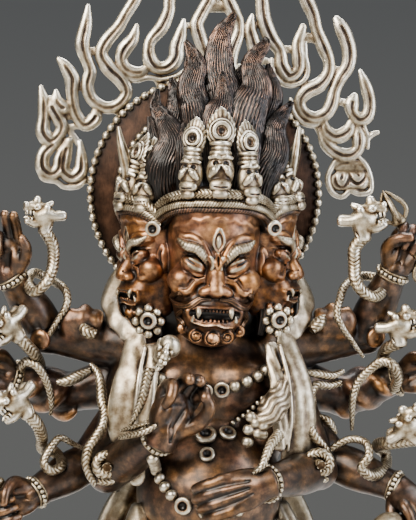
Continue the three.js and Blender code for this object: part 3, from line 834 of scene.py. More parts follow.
# Middle lines of the flames' twin-ridged ribbons, across and up from the disc's middle.
FLAMES = [
    [[-42.7, 68.4], [-43.4, 62.1], [-44.9, 54.7], [-43.4, 49.2], [-41.9, 44.8], [-43, 39.6], [-41.2, 34.5],
     [-36.4, 31.5], [-31.6, 32.6], [-28.6, 37], [-30.8, 41.8], [-35.3, 46.2], [-37.9, 51], [-36, 55.8],
     [-31.6, 61], [-28.6, 66.1], [-25.3, 71.3], [-21.5, 78.5]],
    [[-53.4, 49.2], [-50.8, 46.2], [-48.6, 41.8], [-48.6, 36.3], [-47.5, 30], [-44.1, 25.2], [-40.4, 27.4],
     [-39.7, 31]],
    [[-54.5, 37.4], [-54.1, 33.7], [-51.9, 31.5], [-49.3, 32.6]],
    [[-60, 38.9], [-58.9, 33.4], [-58.9, 27.8], [-59.3, 22.7], [-56.7, 19.4], [-53.7, 21.2], [-52.3, 24.5],
     [-53.7, 27.8], [-55.6, 30.8], [-56.7, 34.5]],
    [[-51.5, 18.6], [-53, 13.1], [-53.4, 9.4], [-56, 7.2], [-59.3, 9.4], [-59.3, 13.8], [-57.1, 16.8],
     [-53.4, 19]],
    [[-45.6, 18.6], [-45.2, 12.4], [-45.6, 8.3], [-48.6, 6.1], [-51.9, 8.7], [-51.5, 13.8], [-49.7, 19.4]],
    [[-24.9, 61.4], [-26.4, 56.6], [-29.4, 52.9], [-30.5, 49.2], [-28.6, 45.5], [-24.2, 44.2], [-20.9, 46.2]],
    [[-7.6, 63.2], [-8.7, 58.4], [-10.2, 53.6], [-10.5, 49.9], [-13.1, 46.6], [-16.8, 45.9], [-19.8, 48.5],
     [-20.5, 52.9], [-19.4, 56.6], [-15.7, 61], [-13.1, 66.9], [-12.8, 71.3], [-10, 79], [-7.4, 84]],
    [[1.5, 88], [4.2, 81], [2.6, 73.1], [-0.6, 66.9], [-2.8, 62.1], [-1.7, 57.3], [-0.2, 52.9], [0.9, 48.5],
     [0.2, 42.4]],
    [[9.5, 84], [7.4, 78], [8.3, 72.4], [10.1, 67.6], [12.4, 63.2], [12.7, 59.1], [11.2, 55.1], [9.8, 50.4],
     [10, 42]],
    [[17.5, 65], [16.8, 60.2], [17.9, 55.8], [19, 50.4], [18.6, 40]],
    [[22, 83], [20.6, 77.5], [21.2, 71.3], [22, 63.9], [24.5, 57.3], [27.9, 52.1], [28.6, 47], [31.2, 43.3],
     [34.5, 45.1], [34.9, 49.2], [34.5, 54.7], [36.4, 61]],
    [[38.6, 79.6], [36.6, 75.4], [37.8, 71], [40.1, 65.8], [41.5, 60.2], [44.1, 53.6], [46, 48.5],
     [45.6, 43.7], [42.6, 40], [37.8, 37.4], [35.3, 33.7], [36.7, 29.7], [40.8, 27.8], [44.9, 29.3],
     [47.1, 33], [48.2, 37.8], [50.4, 42.6], [53, 46.6], [53.7, 51.4], [52.6, 56.6], [50.8, 60.6],
     [48.9, 63.9]],
    [[57.8, 44.8], [60, 38.9], [61.3, 33], [60.4, 28.6], [57.4, 27.1], [54.8, 29.7], [54.5, 32.6],
     [55.6, 35.6]],
    [[44.1, 27.5], [45.2, 23], [48.9, 20.8], [53, 22.7], [54.5, 26.4]],
    [[42.6, 23.4], [44.9, 18.3], [48.9, 14.9], [53.4, 13.8], [56.7, 16], [57.4, 20.1], [56.7, 24.1]],
]
# Single cords that outline the lobes, and the scrolls of the cloud under the right-hand flames.
CORDS = [
    [[-61.1, 9.4], [-59.3, 5.7], [-54.5, 4.6], [-51.5, 2.6], [-46.4, 2.8], [-43.8, 5]],
    [[-32, 48.5], [-30.1, 43.9], [-25.7, 41.6], [-20.5, 42.6], [-16.1, 41.8], [-10.9, 42.9], [-7.2, 45.1]],
    [[24.9, 49.2], [25.7, 43.7], [29, 40.4], [32.7, 39.8], [36.6, 41.4], [38.2, 45.5], [37.4, 49.9],
     [37.2, 55.1]],
    [[31.9, 34.5], [33, 29.7], [36, 26.2], [40.4, 25], [44.1, 26.7]],
    [[58.9, 25.6], [60.4, 20.5], [60.6, 16.8]],
    [[59.6, 19], [62.2, 21.6], [64.4, 22.4]],
    [[49.7, 13.5], [47.1, 9.4], [45.6, 5], [47.4, 0.2], [51.1, -1.3], [54.1, 0.9], [57.4, -0.2], [61.5, 0.6],
     [61.8, 5], [60, 10.1], [57, 13.5]],
]
# Grooves that draw the two scrolls on the cloud's plate.
SCROLLS = [
    [[53, 10.9], [49.9, 10.4], [48.2, 7.4], [48.4, 3.6], [50.6, 1.8], [52.8, 3.4], [53.6, 7], [51.6, 7.8],
     [50.6, 5.6]],
    [[53.6, 7], [54.6, 4.4], [57.2, 3.4], [59.5, 5.8], [59, 9.2], [56.6, 10.8], [55.6, 8.4], [57.2, 6.8]],
]
# Webs that hold the ribbons to each other and to the rim: radius, then across and up of both ends.
WEBS = [
    (1.6, -41.4, 52.1, -37.9, 52.1), (1.6, -47.5, 39.6, -43.4, 38.9), (1.4, 28.3, 53, 34.5, 52.9),
    (2.2, 0.2, 68.6, 9, 68.6), (1.2, -7.9, 61.4, -3.1, 61.4), (1.3, 13, 61, 16.8, 60.2),
    (1.3, 17.9, 61.6, 22.3, 62.1), (1.7, 46.3, 45.5, 51.9, 44.6), (1.8, 36.4, 57.5, 41.5, 56.8),
    (1.4, 47.9, 34.5, 54.5, 32.4), (1.8, -16.8, 41.8, -15, 37.6), (2, -33, 31.5, -29, 28.8),
    (1.8, 35, 27.8, 31.9, 25.4), (1.5, -46, 5.7, -41.5, 4.6), (1.5, -58.2, 20.7, -57.4, 16.2),
    (1.6, -53, 22, -51.5, 17.5), (1.5, -52, 28.4, -47.8, 28.6), (1.2, -49.3, 24.4, -45.4, 25),
    (1.3, -49.5, 23, -46.2, 18.4), (1.6, -30.9, 44.6, -32.4, 43), (2.2, 53.4, 13.6, 53.6, 9.6),
    (1.4, 53, 23.4, 57.4, 26.6), (2.6, 49.6, 10.5, 57.6, 9.6), (3.8, 50.2, 4.4, 58, 4.6),
    (1.6, 41, 26.4, 43, 22.6), (1.6, 9.6, 46, 18.6, 46), (1.4, 19.6, 50, 26, 47),
    (1.3, -57.6, 31, -54.4, 32.4), (1.5, 38, 40, 38.6, 37), (1.4, -0.4, 50, 10.2, 50),
]


def halo_at(across, up, back=1.6):
    """A place on the halo, measured from the middle of its disc."""
    return [HALO["x"] + across, HALO["y"] + back, HALO["z"] + up]


def make_flames():
    clay = Clay([-63.5, 21.6, 264], [67.5, 29, 359.6], 0.34)
    for radius, *ends in WEBS:
        web = limb([halo_at(*ends[:2], 2), halo_at(*ends[2:], 2)], radius, facing=FORWARD, thin=0.5)
        clay.add(web, 0.7, silver=0.9)
    for path in FLAMES:
        line = [halo_at(*p) for p in path]
        wide = [1.0, RIBBON * 0.86]
        wide += [RIBBON * (0.95 + 0.11 * math.sin(2.3 * i + p[0])) for i, p in enumerate(path[3:])] + [1.5]
        clay.add(limb(line, wide, facing=FORWARD, thin=0.62, step=1.2), 0.5, silver=1)
    for path in CORDS:
        wide = [0.8] + [1.1] * (len(path) - 2) + [0.8]
        clay.add(limb([halo_at(*p) for p in path], wide, step=1.2), 0.4, silver=1)
    for path in FLAMES:
        way, _ = smooth_path([halo_at(*p, -0.34) for p in path], 1, 1.0)
        clay.cut(limb(way[2:-2], [0.3] + [GROOVE] * (len(way) - 6) + [0.3], step=1.2), 0.3, silver=0.4)
    for path in SCROLLS:
        clay.cut(stroke([halo_at(*p, 0.1) for p in path], 0.7), 0.3, silver=0.35)
    clay.piece("flames", silver_on_copper, keep=0.42, reach=0.9)


def make_disc():
    r, t = HALO["outer"], HALO["thick"]
    profile = [(0, -0.05), (r, -0.05), (r + 0.9, 0.6), (r + 0.9, t - 0.5), (r, t), (0, t)]
    lathe("halo_disc", profile, halo_at(0, 0, 0), [0, 1, 0], red_copper, 120)
    circle = np.append(np.linspace(0, FULL_TURN, 97)[:-1], 0)
    rows = (("outer", r + 0.5, 78, 1.42, -0.3), ("inner", HALO["inner"], 58, 1.5, -0.8))
    for name, radius, count, width, back in rows:
        line = [halo_at(radius * math.cos(a), radius * math.sin(a), back) for a in circle]
        beads(f"halo_{name}_beads", [line], silver, FULL_TURN * radius / count, width, width * 1.12)
        under = [halo_at(radius * math.cos(a), radius * math.sin(a), back + 0.5) for a in circle]
        strand(f"halo_{name}_wire", [(under, width * 0.5)], silver, sides=10, step=2)


make_flames()
make_disc()


# HAIR: striated locks that sweep up like flames and bend at their tips. Each is [points, radii].
LOCKS = [
    [[[-14, -7, 262], [-16.8, -9.5, 278], [-13.4, -10, 289], [-16.6, -10, 297], [-19.4, -9, 302],
      [-18.8, -9, 308]], [5, 6.6, 5.4, 3.4, 1.9, 0.4]],
    [[[-9, -3, 266], [-11.5, -4, 290], [-10.6, -3, 302], [-13.4, -2, 312]], [6, 6.6, 4.6, 0.5]],
    [[[-3, -8, 272], [-4.2, -9, 296], [-6.6, -8, 308], [-4.8, -7, 317], [-8.6, -6, 325]],
     [6, 6.2, 5, 3.2, 0.6]],
    [[[4, -5, 276], [5.4, -6, 302], [3.4, -5, 314], [4.2, -4, 326], [9.2, -4, 335]], [8, 7.4, 5.8, 3.6, 0.7]],
    [[[3, -12, 276], [1.6, -13.4, 295], [4.4, -12.4, 304], [3.8, -12, 314]], [5.6, 5.6, 3.8, 0.5]],
    [[[11, -9, 272], [11.6, -10, 296], [16.4, -9, 308], [14.8, -8, 317], [19.8, -7.5, 324],
      [19.2, -7.5, 326]], [7, 7.8, 5.6, 3.4, 1.8, 0.9]],
    [[[17, -4, 268], [19, -4, 296], [22.6, -3, 306], [21.4, -3, 317]], [6, 5.6, 3.8, 0.5]],
    [[[14, -9, 262], [17.4, -10, 276], [22.6, -9.5, 285], [23, -9, 294], [29.6, -7, 303.5]],
     [5.6, 6.4, 5.6, 4, 0.5]],
    [[[-7, -11, 268], [-9, -12, 286], [-8.2, -11, 298]], [5.5, 5.2, 0.6]],
    [[[10, -12, 266], [12, -13, 284], [12.4, -12, 294]], [5.5, 5.2, 0.6]],
    [[[-15, 2, 258], [-19, 2, 278], [-17.6, 3, 288], [-21, 3, 298]], [6.5, 6.6, 4.6, 0.5]],
    [[[-6, 6, 264], [-8, 8, 292], [-4.6, 8, 306], [-7, 7, 320]], [8, 7.8, 5, 0.5]],
    [[[8, 6, 264], [12, 8, 294], [10, 8, 306], [15, 7, 318]], [8, 7.8, 5, 0.5]],
    [[[16, 3, 258], [20.6, 4, 278], [19.6, 4, 288], [25, 4, 298]], [6.5, 6.6, 4.6, 0.5]],
    [[[0, 9, 258], [3, 11.5, 284], [0.6, 11, 296], [5, 11, 308]], [8, 8, 5, 0.5]],
    [[[-12, 8, 254], [-13.6, 10, 276], [-11.4, 10, 288], [-15, 9, 300]], [7, 7, 4.6, 0.5]],
    [[[12, 8, 254], [14.6, 10, 276], [13, 10, 288], [18, 9, 300]], [7, 7, 4.6, 0.5]],
]


def make_hair():
    for i, group in enumerate((LOCKS[:4], LOCKS[4:10], LOCKS[10:])):
        # The locks behind are coarser.
        count, step = (26, 2.6) if i == 2 else (38, 1.7)
        strand(
            f"hair_locks_{i + 1}", group, dark_copper,
            pitch=60, strands=count, depth=0.95, sides=count * 4, step=step,
        )
    mass = Clay([-29, -19, 206], [29, 29, 300], 0.8)
    mass.add(ball([0.5, 0, 262], [18.6, 14, 24]), 1)
    mass.add(ball([0, 3, 230], [25, 12, 17]), 2)
    # The peg that the halo hangs on.
    mass.add(limb([[HALO["x"], 6, HALO["z"]], [HALO["x"], 27.6, HALO["z"]]], 2.6), 1)
    mass.piece("hair_mass", dark_copper)


make_hair()


# HEADS: one wrathful three-eyed face, sculpted about its own middle facing -Y, and set three times.

HEADS = {
    "front": turned_to(0.0, 0.035, 0.0, 1.0, [0.3, -11, 241.5]),
    "right": turned_to(-1.16, 0.0, 0.0, 0.8, [-17, 0, 245]),
    "left": turned_to(1.16, 0.0, 0.0, 0.8, [17.5, 0, 245]),
}


def on(clay, points, lift=0.0):
    """Puts (x, z) points on the clay's front surface, lifted off it."""
    placed = []
    for x, z, *more in points:
        y = clay.front(x, z)
        placed.append([x, (0 if y is None else y) - lift - (more[0] if more else 0), z])
    return placed


def sculpt_face():
    """The face's skin, and the paths of its moustache and beard locks."""
    hair = []
    clay = Clay([-21, -26, -29], [21, 12, 32], 0.27)
    clay.add(ball([0, 1, 6], [15.8, 17.2, 22.5]), 1)
    clay.add(ball([0, -1.5, 16], [16.2, 16.4, 13]), 4)
    clay.add(ball([0, -0.5, 24], [17.6, 17.6, 8]), 4)
    clay.add(ball([0, -2, -9], [13.6, 14.2, 14]), 4, silver=-0.12)
    clay.add(ball([0, -4, -17.5], [11, 12, 7.4]), 3, silver=-0.15)
    # Brow ridge, and the deep sockets under it.
    clay.add(mirrored(lambda s: limb(
        [[s * 2.6, -17, 5.6], [s * 7, -16.4, 9.6], [s * 12.4, -12.8, 12.6]], [1.9, 2.4, 1.8])), 2.5)
    clay.cut(mirrored(lambda s: ball([s * 7.4, -17.6, 4.4], [5.9, 3.4, 3.8], turn_in_face(s * 0.42))), 1.6)
    # Cheeks that swell and run down to the jaw, the muzzle and the broad nose.
    clay.add(mirrored(lambda s: ball([s * 11.2, -10.8, -0.9], [5, 5.2, 4.5])), 2.4)
    clay.add(mirrored(lambda s: limb(
        [[s * 13.4, -9.5, -1.5], [s * 11.6, -12, -4.6], [s * 8.4, -14.4, -5]], [2.6, 2.2, 1.4])), 2)
    clay.add(ball([0, -12.8, -11.5], [10.8, 6.6, 7.2]), 2.6, silver=-0.15)
    clay.add(limb([[0, -15, 6.5], [0, -16.2, 2.4], [0, -18.6, -2.6]], [1.8, 2.5, 3.1]), 2.6)
    clay.add(ball([0, -19.9, -4.4], [3.1, 2.5, 2.2]), 1.4)
    clay.add(mirrored(lambda s: ball([s * 3.6, -18.2, -4.6], [2.6, 2.7, 1.9], turn_in_face(-s * 0.3))), 1.1)
    clay.cut(mirrored(lambda s: ball([s * 2.7, -20.6, -6.6], [1.3, 1.6, 0.8])), 0.4)
    clay.cut(mirrored(lambda s: limb(
        [[s * 2.3, -20.4, -2.4], [s * 4.2, -20.4, -1.7], [s * 6.2, -19, -2.9], [s * 6.9, -17.6, -4.8]],
        [0.3, 0.55, 0.55, 0.3])), 0.35)
    # Folds from the nose under the cheeks, and the lines of a parted moustache and of the beard.
    clay.add(mirrored(lambda s: limb(
        on(clay, [(s * 4.4, -1.2), (s * 7.2, -2.0), (s * 10.2, -5.0), (s * 12.6, -4.8)], -0.2),
        [0.6, 1.5, 1.5, 0.7])), 0.9)
    clay.cut(mirrored(lambda s: limb(
        on(clay, [(s * 4.6, 0.8), (s * 7.6, -0.4), (s * 10.2, -3.6), (s * 12.6, -3.2)], 0.1),
        [0.2, 0.6, 0.6, 0.3])), 0.5)
    for s in (1, -1):
        hair.append((on(
            clay,
            [(s * 1.4, -7.2), (s * 5.2, -7.6), (s * 8.8, -9.8), (s * 12.0, -10.0), (s * 13.9, -7.6),
             (s * 12.6, -5.6), (s * 11.4, -6.6)],
            -0.1), [0.7, 1.3, 1.5, 1.3, 1.1, 0.8, 0.3]))
        hair.append((
            on(clay, [(s * 10.6, -11.4), (s * 11.8, -14.2), (s * 10.0, -17.0), (s * 11.6, -19.4)], -0.4),
            [0.6, 1.3, 1.2, 0.4]))
    # The open mouth: lips round a hollow painted near black with painted shade, teeth along it and a fang at
    # each side. The lips and teeth are painted darker too.
    clay.add(limb(
        on(clay, [(-9.4, -11.6), (-6.2, -10.3), (-2, -10.5), (2, -10.5), (6.2, -10.3), (9.4, -11.6)], 0),
        [0.3, 0.4, 0.45, 0.45, 0.4, 0.3]), 1.2, silver=-0.2)
    clay.add(limb(on(
        clay,
        [(-9.6, -11.6), (-8.2, -14.4), (-4, -15.9), (1, -15.8), (5.6, -16.6), (8.4, -14.9), (9.6, -11.6)], 0
    ), [0.3, 0.45, 0.6, 0.6, 0.6, 0.45, 0.3]), 1.5, silver=-0.2)
    clay.cut(stroke(
        [[-7.8, -17.6, -12.4], [-4, -18.4, -12.8], [0, -18.8, -12.8], [4, -18.4, -13.1], [7.8, -17.6, -12.8]],
        [1.1, 2.1, 2.3, 2.3, 1.2]), 0.5, silver=-0.6)
    clay.add(mirrored(lambda s: stroke(
        [[s * 5.8, -17.6, -10.4], [s * 5.7, -18.9, -12], [s * 5.9, -18.8, -13.8]], [1.15, 1, 0.35]
    )), 0.2, silver=0.9)
    clay.add([
        ball([x, -18.9 + 0.035 * x * x, -11.1], [0.5, 0.7, 0.9 + 0.3 * math.sin(x * 5)])
        for x in np.linspace(-4.2, 4.2, 8)], 0.3, silver=-0.2)
    clay.add([
        ball([x, -18.4 + 0.035 * x * x, -14.9], [0.5, 0.7, 0.7 + 0.25 * math.sin(x * 7)])
        for x in np.linspace(-4.4, 4.4, 7)], 0.3, silver=-0.2)
    clay.add(
        mirrored(lambda s: stroke([[s * 7.6, -16.8, -15], [s * 7.4, -17.5, -13.2]], [0.8, 0.3])), 0.15,
        silver=0.7)
    clay.add(stroke(
        on(clay, [(-7.6, -15.6), (-3.4, -16.7), (0.4, -16.3), (3.4, -17.2), (6.8, -17.2)], 0.35),
        [0.2, 0.3, 0.25, 0.3, 0.2]), 0.3, silver=0.5)
    # Eyes: swollen lids that slant in to the nose, with a silver slit.
    for s in (1, -1):
        slant = turn_in_face(s * 0.45)
        clay.add(ball([s * 7.6, -14.2, 4.4], [5, 3.7, 3.2], slant), 0.8)
        clay.add(ball([s * 7.3, -16.9, 5.8], [2.9, 0.9, 0.8], slant), 0.35, silver=0.75)
        clay.add(ball([s * 7.6, -16.9, 3.7], [3.2, 1.1, 1], slant), 0.2, silver=0.95)
        # The slit between the lids is painted dark: painted shade.
        clay.cut(
            stroke([[s * 3.9, -18.6, 3], [s * 7.4, -18.5, 4.65], [s * 11.2, -16.6, 7]], [0.2, 0.5, 0.2]), 0.2,
            silver=-0.5)
        for lift, wide in ((2.6, 0.6), (-3.0, 0.6), (-4.6, 0.55)):
            arc = [(s * 3.6, 2.2 + lift * 0.45), (s * 7.3, 4.3 + lift), (s * 12.2, 7.0 + lift * 0.5)]
            clay.add(stroke(on(clay, arc, 0.05), [0.25, wide, 0.25]), 0.35)
    # Silver brows, chased with short hairs, each under a copper cord.
    for s in (1, -1):
        brow = [(s * 13.4, 13.4), (s * 10.6, 11.2), (s * 7.2, 10.4), (s * 4.9, 7.8), (s * 3.1, 4.6)]
        hairs = lambda x, y, z: 0.1 * np.sin((x * s * 0.9 + z * 0.5) * 2 * math.pi / 1.1) * np.ones_like(y)
        clay.add(stroke(on(clay, brow, -0.1), [0.5, 1.7, 1.75, 1.25, 0.5]), 0.15, silver=1, carve=hairs)
        cord = [(s * 13.2, 15.6), (s * 11.4, 14.6), (s * 8.4, 14.4), (s * 5.4, 12.4), (s * 3.2, 9.2),
                (s * 1.6, 5.6)]
        clay.add(stroke(on(clay, cord, 0), [0.3, 0.8, 0.95, 0.9, 0.7, 0.3]), 1.1)
        clay.add(
            stroke(on(clay, [(s * 2.1, 7.6), (s * 1.1, 5.4), (s * 1.7, 3.4)], 0.1), [0.5, 0.85, 0.6]), 0.25,
            silver=0.75)
    # The third eye stands upright in a pointed ring.
    upright = [(0.6, 9.2), (2.3, 11.5), (2.4, 13.8), (0.7, 17.6), (-1.1, 13.8), (-1.2, 11.5), (0.6, 9.2)]
    clay.add(
        limb(on(clay, upright, 0.05), [0.5, 0.42, 0.42, 0.35, 0.42, 0.42, 0.5], step=0.8), 0.25, silver=0.8)
    # The socket round the third eye's pupil is painted dark: painted shade.
    clay.cut(ball([0.6, clay.front(0.6, 13) - 0.3, 12.8], [1.3, 0.9, 3.2]), 0.2, silver=-0.4)
    clay.add(ball([0.6, clay.front(0.6, 13) + 0.1, 12.8], [0.95, 0.95, 2.5]), 0.15, silver=1)
    clay.add(mirrored(lambda s: stroke(
        on(clay, [(0.5 + s * 0.4, 8.4), (0.5 + s * 0.9, 5.6), (0.4 + s * 0.2, 3.2)], 0.2), [0.4, 0.55, 0.4]
    )), 0.3)
    # The hairline's overhang, ears and beard curls.
    line = [(x, 20.9 + 0.45 * math.sin(x * 1.3) - 0.014 * x * x) for x in np.linspace(-14.6, 14.6, 24)]
    clay.add(stroke(on(clay, line, -0.2), 0.5), 0.8)
    for s in (1, -1):
        clay.add(ball([s * 17.6, -0.6, 6.2], [2.7, 3, 5.8]), 1.2)
        clay.cut(stroke(
            [[s * 18.2, -3.2, 9.6], [s * 19.4, -2.8, 7.6], [s * 19.2, -2.8, 5], [s * 18.2, -3.4, 3.2]],
            [0.4, 0.8, 0.8, 0.4]), 0.6, silver=0)
    for x, z, r in (
        (-6.0, -20.6, 2.8), (-0.4, -21.2, 3.0), (4.9, -20.7, 2.6), (-10.6, -18.4, 1.9), (9.4, -18.8, 2.2)
    ):
        y = -15.6 + 0.05 * x * x
        clay.add(ball([x, y + 0.4, z], [r, r * 0.9, r]), 0.5)
        spiral = []
        for k, t in zip(np.linspace(0.86, 0.3, 18), np.linspace(0.5, 10, 18)):
            wide = r * k
            spiral.append(
                [x + wide * math.cos(t) * 0.95, y - 0.9 - r * (1 - k) * 0.3, z + wide * math.sin(t) * 0.95])
        clay.cut(limb(spiral, 0.34, step=0.8), 0.2)
        clay.add(ball([x, y - 1.8, z], r * 0.27), 0.15)
    return clay.skin(keep=0.5, reach=0.9), hair


def turn_in_face(angle):
    """Turn matrix rows that slant a form in the plane of the face."""
    c, s = math.cos(angle), math.sin(angle)
    return [[c, 0, s], [0, 1, 0], [-s, 0, c]]


def make_faces():
    skin, hair = sculpt_face()
    for name, place in HEADS.items():
        # The side heads are smaller, and half seen.
        copies(f"{name}_face", skin if name == "front" else thinned(skin, 0.45), [place], face_copper)
    locks = [(put_at(HEADS["front"], line), radii) for line, radii in hair]
    strand("front_moustache", locks, copper, pitch=14, strands=9, depth=0.25, sides=36, step=0.5)


# CROWNS: a skull under a ringed leaf, set round each head above a roped band.

def sculpt_crown_skull():
    clay = Clay([-6.5, -5.5, -5], [6.5, 4, 30.5], 0.19)
    # The skull: dome, brow, cheek bosses, muzzle and chin.
    clay.add(ball([0, 0.4, 6.4], [4.9, 3.2, 6.4]), 0.5, silver=1)
    clay.add(limb(
        [[-3.8, -0.9, 11], [-1.6, -2.3, 11.5], [0, -2.1, 10.9], [1.6, -2.3, 11.5], [3.8, -0.9, 11]],
        [0.7, 1, 0.8, 1, 0.7]), 0.5, silver=1)
    # The eye sockets, and the nose below, are cut with painted shade in them.
    clay.cut(mirrored(lambda s: ball([s * 2.05, -2.9, 9.2], [1.3, 1.4, 0.9])), 0.3, silver=-0.4)
    clay.add(mirrored(lambda s: limb(
        [[s * 0.5, -2.9, 8.2], [s * 2.2, -2.9, 6.6], [s * 3.4, -1.6, 4.8]], [0.6, 1.5, 1.1])), 0.35, silver=1)
    clay.cut(limb([[-1.2, -3.6, 4.6], [0, -4, 6.6], [1.2, -3.6, 4.6]], [0.3, 0.6, 0.3]), 0.25, silver=-0.3)
    clay.add(ball([0, -1.5, 1.5], [3.9, 2.2, 2.5]), 0.5, silver=1)
    clay.cut(limb([[-2.6, -2.6, 0.9], [0, -3.7, 0.3], [2.6, -2.6, 0.9]], [0.2, 0.35, 0.2]), 0.25, silver=0.2)
    clay.cut([limb([[x, -3.8, 1.6], [x, -3.7, 2.9]], 0.16) for x in (-1.4, -0.5, 0.5, 1.4)], 0.1, silver=0.1)
    clay.add(ball([0, -1.2, -1.6], [3, 1.9, 1.9]), 0.5, silver=1)
    # Stacked collars between the skull and the leaf.
    for z, r in ((12.7, 4.0), (14.3, 3.5), (16.0, 3.9)):
        clay.add(ring([0, 0.4, z], [0, 0, 1], r - 0.9, 0.9), 0.4, silver=1)
    clay.add(ball([0, 0.3, 14.4], [3, 2.2, 3]), 0.5, silver=1)
    # The pointed leaf with its socketed ring, chased towards the tip.
    fan = lambda x, y, z: 0.12 * np.sin(np.arctan2(x, z - 12.0) * 60) * np.ones_like(y)
    leaf = [[0, 0.6, 16.6], [0, 0.3, 20.4], [0, 0.5, 24.0], [0, 0.8, 28.9]]
    clay.add(limb(leaf, [3.4, 5.2, 4, 0.5], facing=FORWARD, thin=0.34, step=0.8), 0.5, silver=1, carve=fan)
    clay.add(ring([0, -1.5, 20.5], [0, -1, 0], 2.7, 0.8), 0.3, silver=1)
    clay.add(ring([0, -1, 20.5], [0, -1, 0], 4, 0.45), 0.25, silver=0.9)
    clay.cut(ball([0, -2.4, 20.5], [1.5, 1.8, 1.5]), 0.3, silver=0.1)
    return clay.skin(keep=0.24, reach=0.6)


def crown_place(angle, radius, height, scale, lean):
    """Where a crown skull stands round a head: angle from the front, and radius and height of its foot."""
    spot = [math.sin(angle) * radius, -math.cos(angle) * radius, height]
    return turned_to(angle, 0.0, -lean, scale, spot)


# Each skull's angle, radius, height and scale. The left head's crown mirrors the right one's.
FRONT_CROWN = [(0.0, 20.5, 31.4, 1.0), (-0.54, 20.2, 30.6, 0.9), (0.58, 20.2, 29.2, 0.93)]
SIDE_CROWN = [(0.62, 18, 27, 1.12), (0.0, 19, 28, 1.16), (-0.66, 18, 29, 1.1)]


def make_crowns():
    skin = sculpt_crown_skull()
    for name, place in HEADS.items():
        plan = FRONT_CROWN if name == "front" else SIDE_CROWN
        side = -1 if name == "left" else 1
        lean = 0.12 if name == "front" else 0.36
        spots = [then(place, crown_place(side * angle, *rest, lean)) for angle, *rest in plan]
        copies(f"{name}_crown_skulls", skin, spots, silver_on_copper)


def band_path(rise, radius, end=1.45, drop=7.5, count=25):
    """A crown's band: an arc round the head's front that falls towards the ears."""
    points = []
    for angle in np.linspace(-end, end, count):
        fall = drop * (abs(angle) / end) ** 3
        points.append([math.sin(angle) * radius * 1.04, 2 - math.cos(angle) * radius, rise - fall])
    return points


def make_bands():
    for name, place in HEADS.items():
        end = 1.35 if name == "front" else 0.98
        garland = put_at(place, band_path(29.6, 20.4, end))
        rope = put_at(place, band_path(26.3, 21.0, end))
        cord = put_at(place, band_path(24.2, 20.3, end))
        strand(
            f"{name}_crown_garland", [(garland, 1.75)], silver, pitch=1.35, strands=2, chevron=9, depth=0.5,
            sides=28, step=0.35)
        strand(
            f"{name}_crown_rope", [(rope, 1.25)], silver, pitch=1.0, strands=4, depth=0.4, sides=24, step=0.32
        )
        strand(
            f"{name}_crown_cord", [(cord, 0.95)], copper, pitch=1.1, strands=3, depth=0.6, sides=18, step=0.32
        )
        fillet = put_at(place, band_path(25, 18, end))
        strand(f"{name}_crown_fillet", [(fillet, 1.9)], dark_copper, sides=10, step=1)
        behind = np.linspace(end, FULL_TURN - end, 24)
        back = put_at(place, [[math.sin(a) * 18.5, 2 - math.cos(a) * 18.5, 24.5] for a in behind])
        strand(
            f"{name}_crown_back_band", [(back, 1.5)], silver, pitch=1.2, strands=3, depth=0.3, sides=16,
            step=0.6)


make_faces()
make_crowns()
make_bands()


def make_crown_petals():
    """Long bare petals that stand beside the side crowns."""
    for side, name in ((1, "left"), (-1, "right")):
        line = [[side * 29, -4, 274], [side * 30, -5, 281], [side * 31.4, -5, 288], [side * 32.4, -4, 294.5]]
        strand(
            f"{name}_crown_petal", [(line, [1.5, 2.0, 1.6, 0.5])], silver, pitch=40, strands=5, depth=0.3,
            sides=30, step=0.8)


make_crown_petals()


def make_side_locks():
    """Wavy hair that falls between the heads, behind the ears and down past the jaws."""
    locks = []
    for s in (1, -1):
        locks.append(
            ([[s * 18.6, -5, 254], [s * 20, -6, 244], [s * 18.4, -6, 236], [s * 19.8, -7, 229],
              [s * 18, -7, 220]], [2.4, 3.4, 3.4, 3.2, 1.2]))
        locks.append(
            ([[s * 22, -2, 238], [s * 24, -5, 231], [s * 22.6, -8, 225], [s * 24, -9, 220]],
             [2.6, 3.0, 2.6, 0.8]))
        locks.append(
            ([[s * 30, 0, 232], [s * 28, -2, 226], [s * 25.6, -3, 221], [s * 26, -4, 217]],
             [2.4, 3.4, 3.0, 1.0]))
    strand("side_hair", locks, dark_copper, pitch=30, strands=12, depth=0.28, sides=48, step=0.9)


make_side_locks()


# BODY: torso, arms and legs in one casting.

SOLE = 26.3
# The arms and hands are painted darker than the chest: painted shade.
ARM_PAINTED_SHADE = -0.17
HAND_PAINTED_SHADE = -0.1
# An arm's side, shoulder, elbow and wrist, then the ways its fingers and thumb point.
ARMS = {
    "right_raised": [-1, [-25, 2, 216], [-57.5, 5, 220], [-71.5, -2, 242], [-0.12, -0.15, 1], [1, -0.2, 0]],
    "left_raised": [1, [25, 2, 216], [57.5, 5, 219], [67.5, -2, 243], [0.45, -0.1, 0.89], [-0.89, 0, 0.45]],
    "right_spread": [-1, [-24, 8, 204], [-50, 11, 198], [-71, 4, 205], [-0.92, -0.3, 0.2], [0, 0, 1]],
    "left_spread": [1, [24, 8, 204], [50, 11, 196], [71, 4, 203], [0.92, -0.3, 0.2], [0, 0, 1]],
    "right_low": [-1, [-23, 3, 198], [-44, -2, 174], [-64, -12, 164], [-0.9, -0.3, -0.25], [-0.25, 0, 0.95]],
    "left_low": [1, [23, 3, 198], [45, -2, 174], [68, -12, 164.5], [0.45, -0.75, -0.48], [-0.9, -0.35, -0.2]],
    "blessing": [-1, [-25, -2, 206], [-37, -14, 172], [-18.6, -37, 188.6], [0.38, -0.06, 0.92],
        [0.9, 0.3, -0.36]],
    "belly": [1, [25, -2, 206], [38, -14, 172], [14.6, -39.5, 169.8], [-0.96, -0.04, -0.27],
        [-0.2, 0.2, 0.97]],
}
# A leg's hip, knee, ankle and toe.
LEGS = {
    "bent": [[-13, 0, 138], [-42, -20, 103], [-40, 2, 38], [-51, -19, 29]],
    "braced": [[13, 2, 138], [38, -14, 92], [48, 8, 38], [59, -12, 29]],
}


def mix(a, b, share):
    """A point on the way from one to another."""
    return list(np.array(a, float) + (np.array(b, float) - np.array(a, float)) * share)


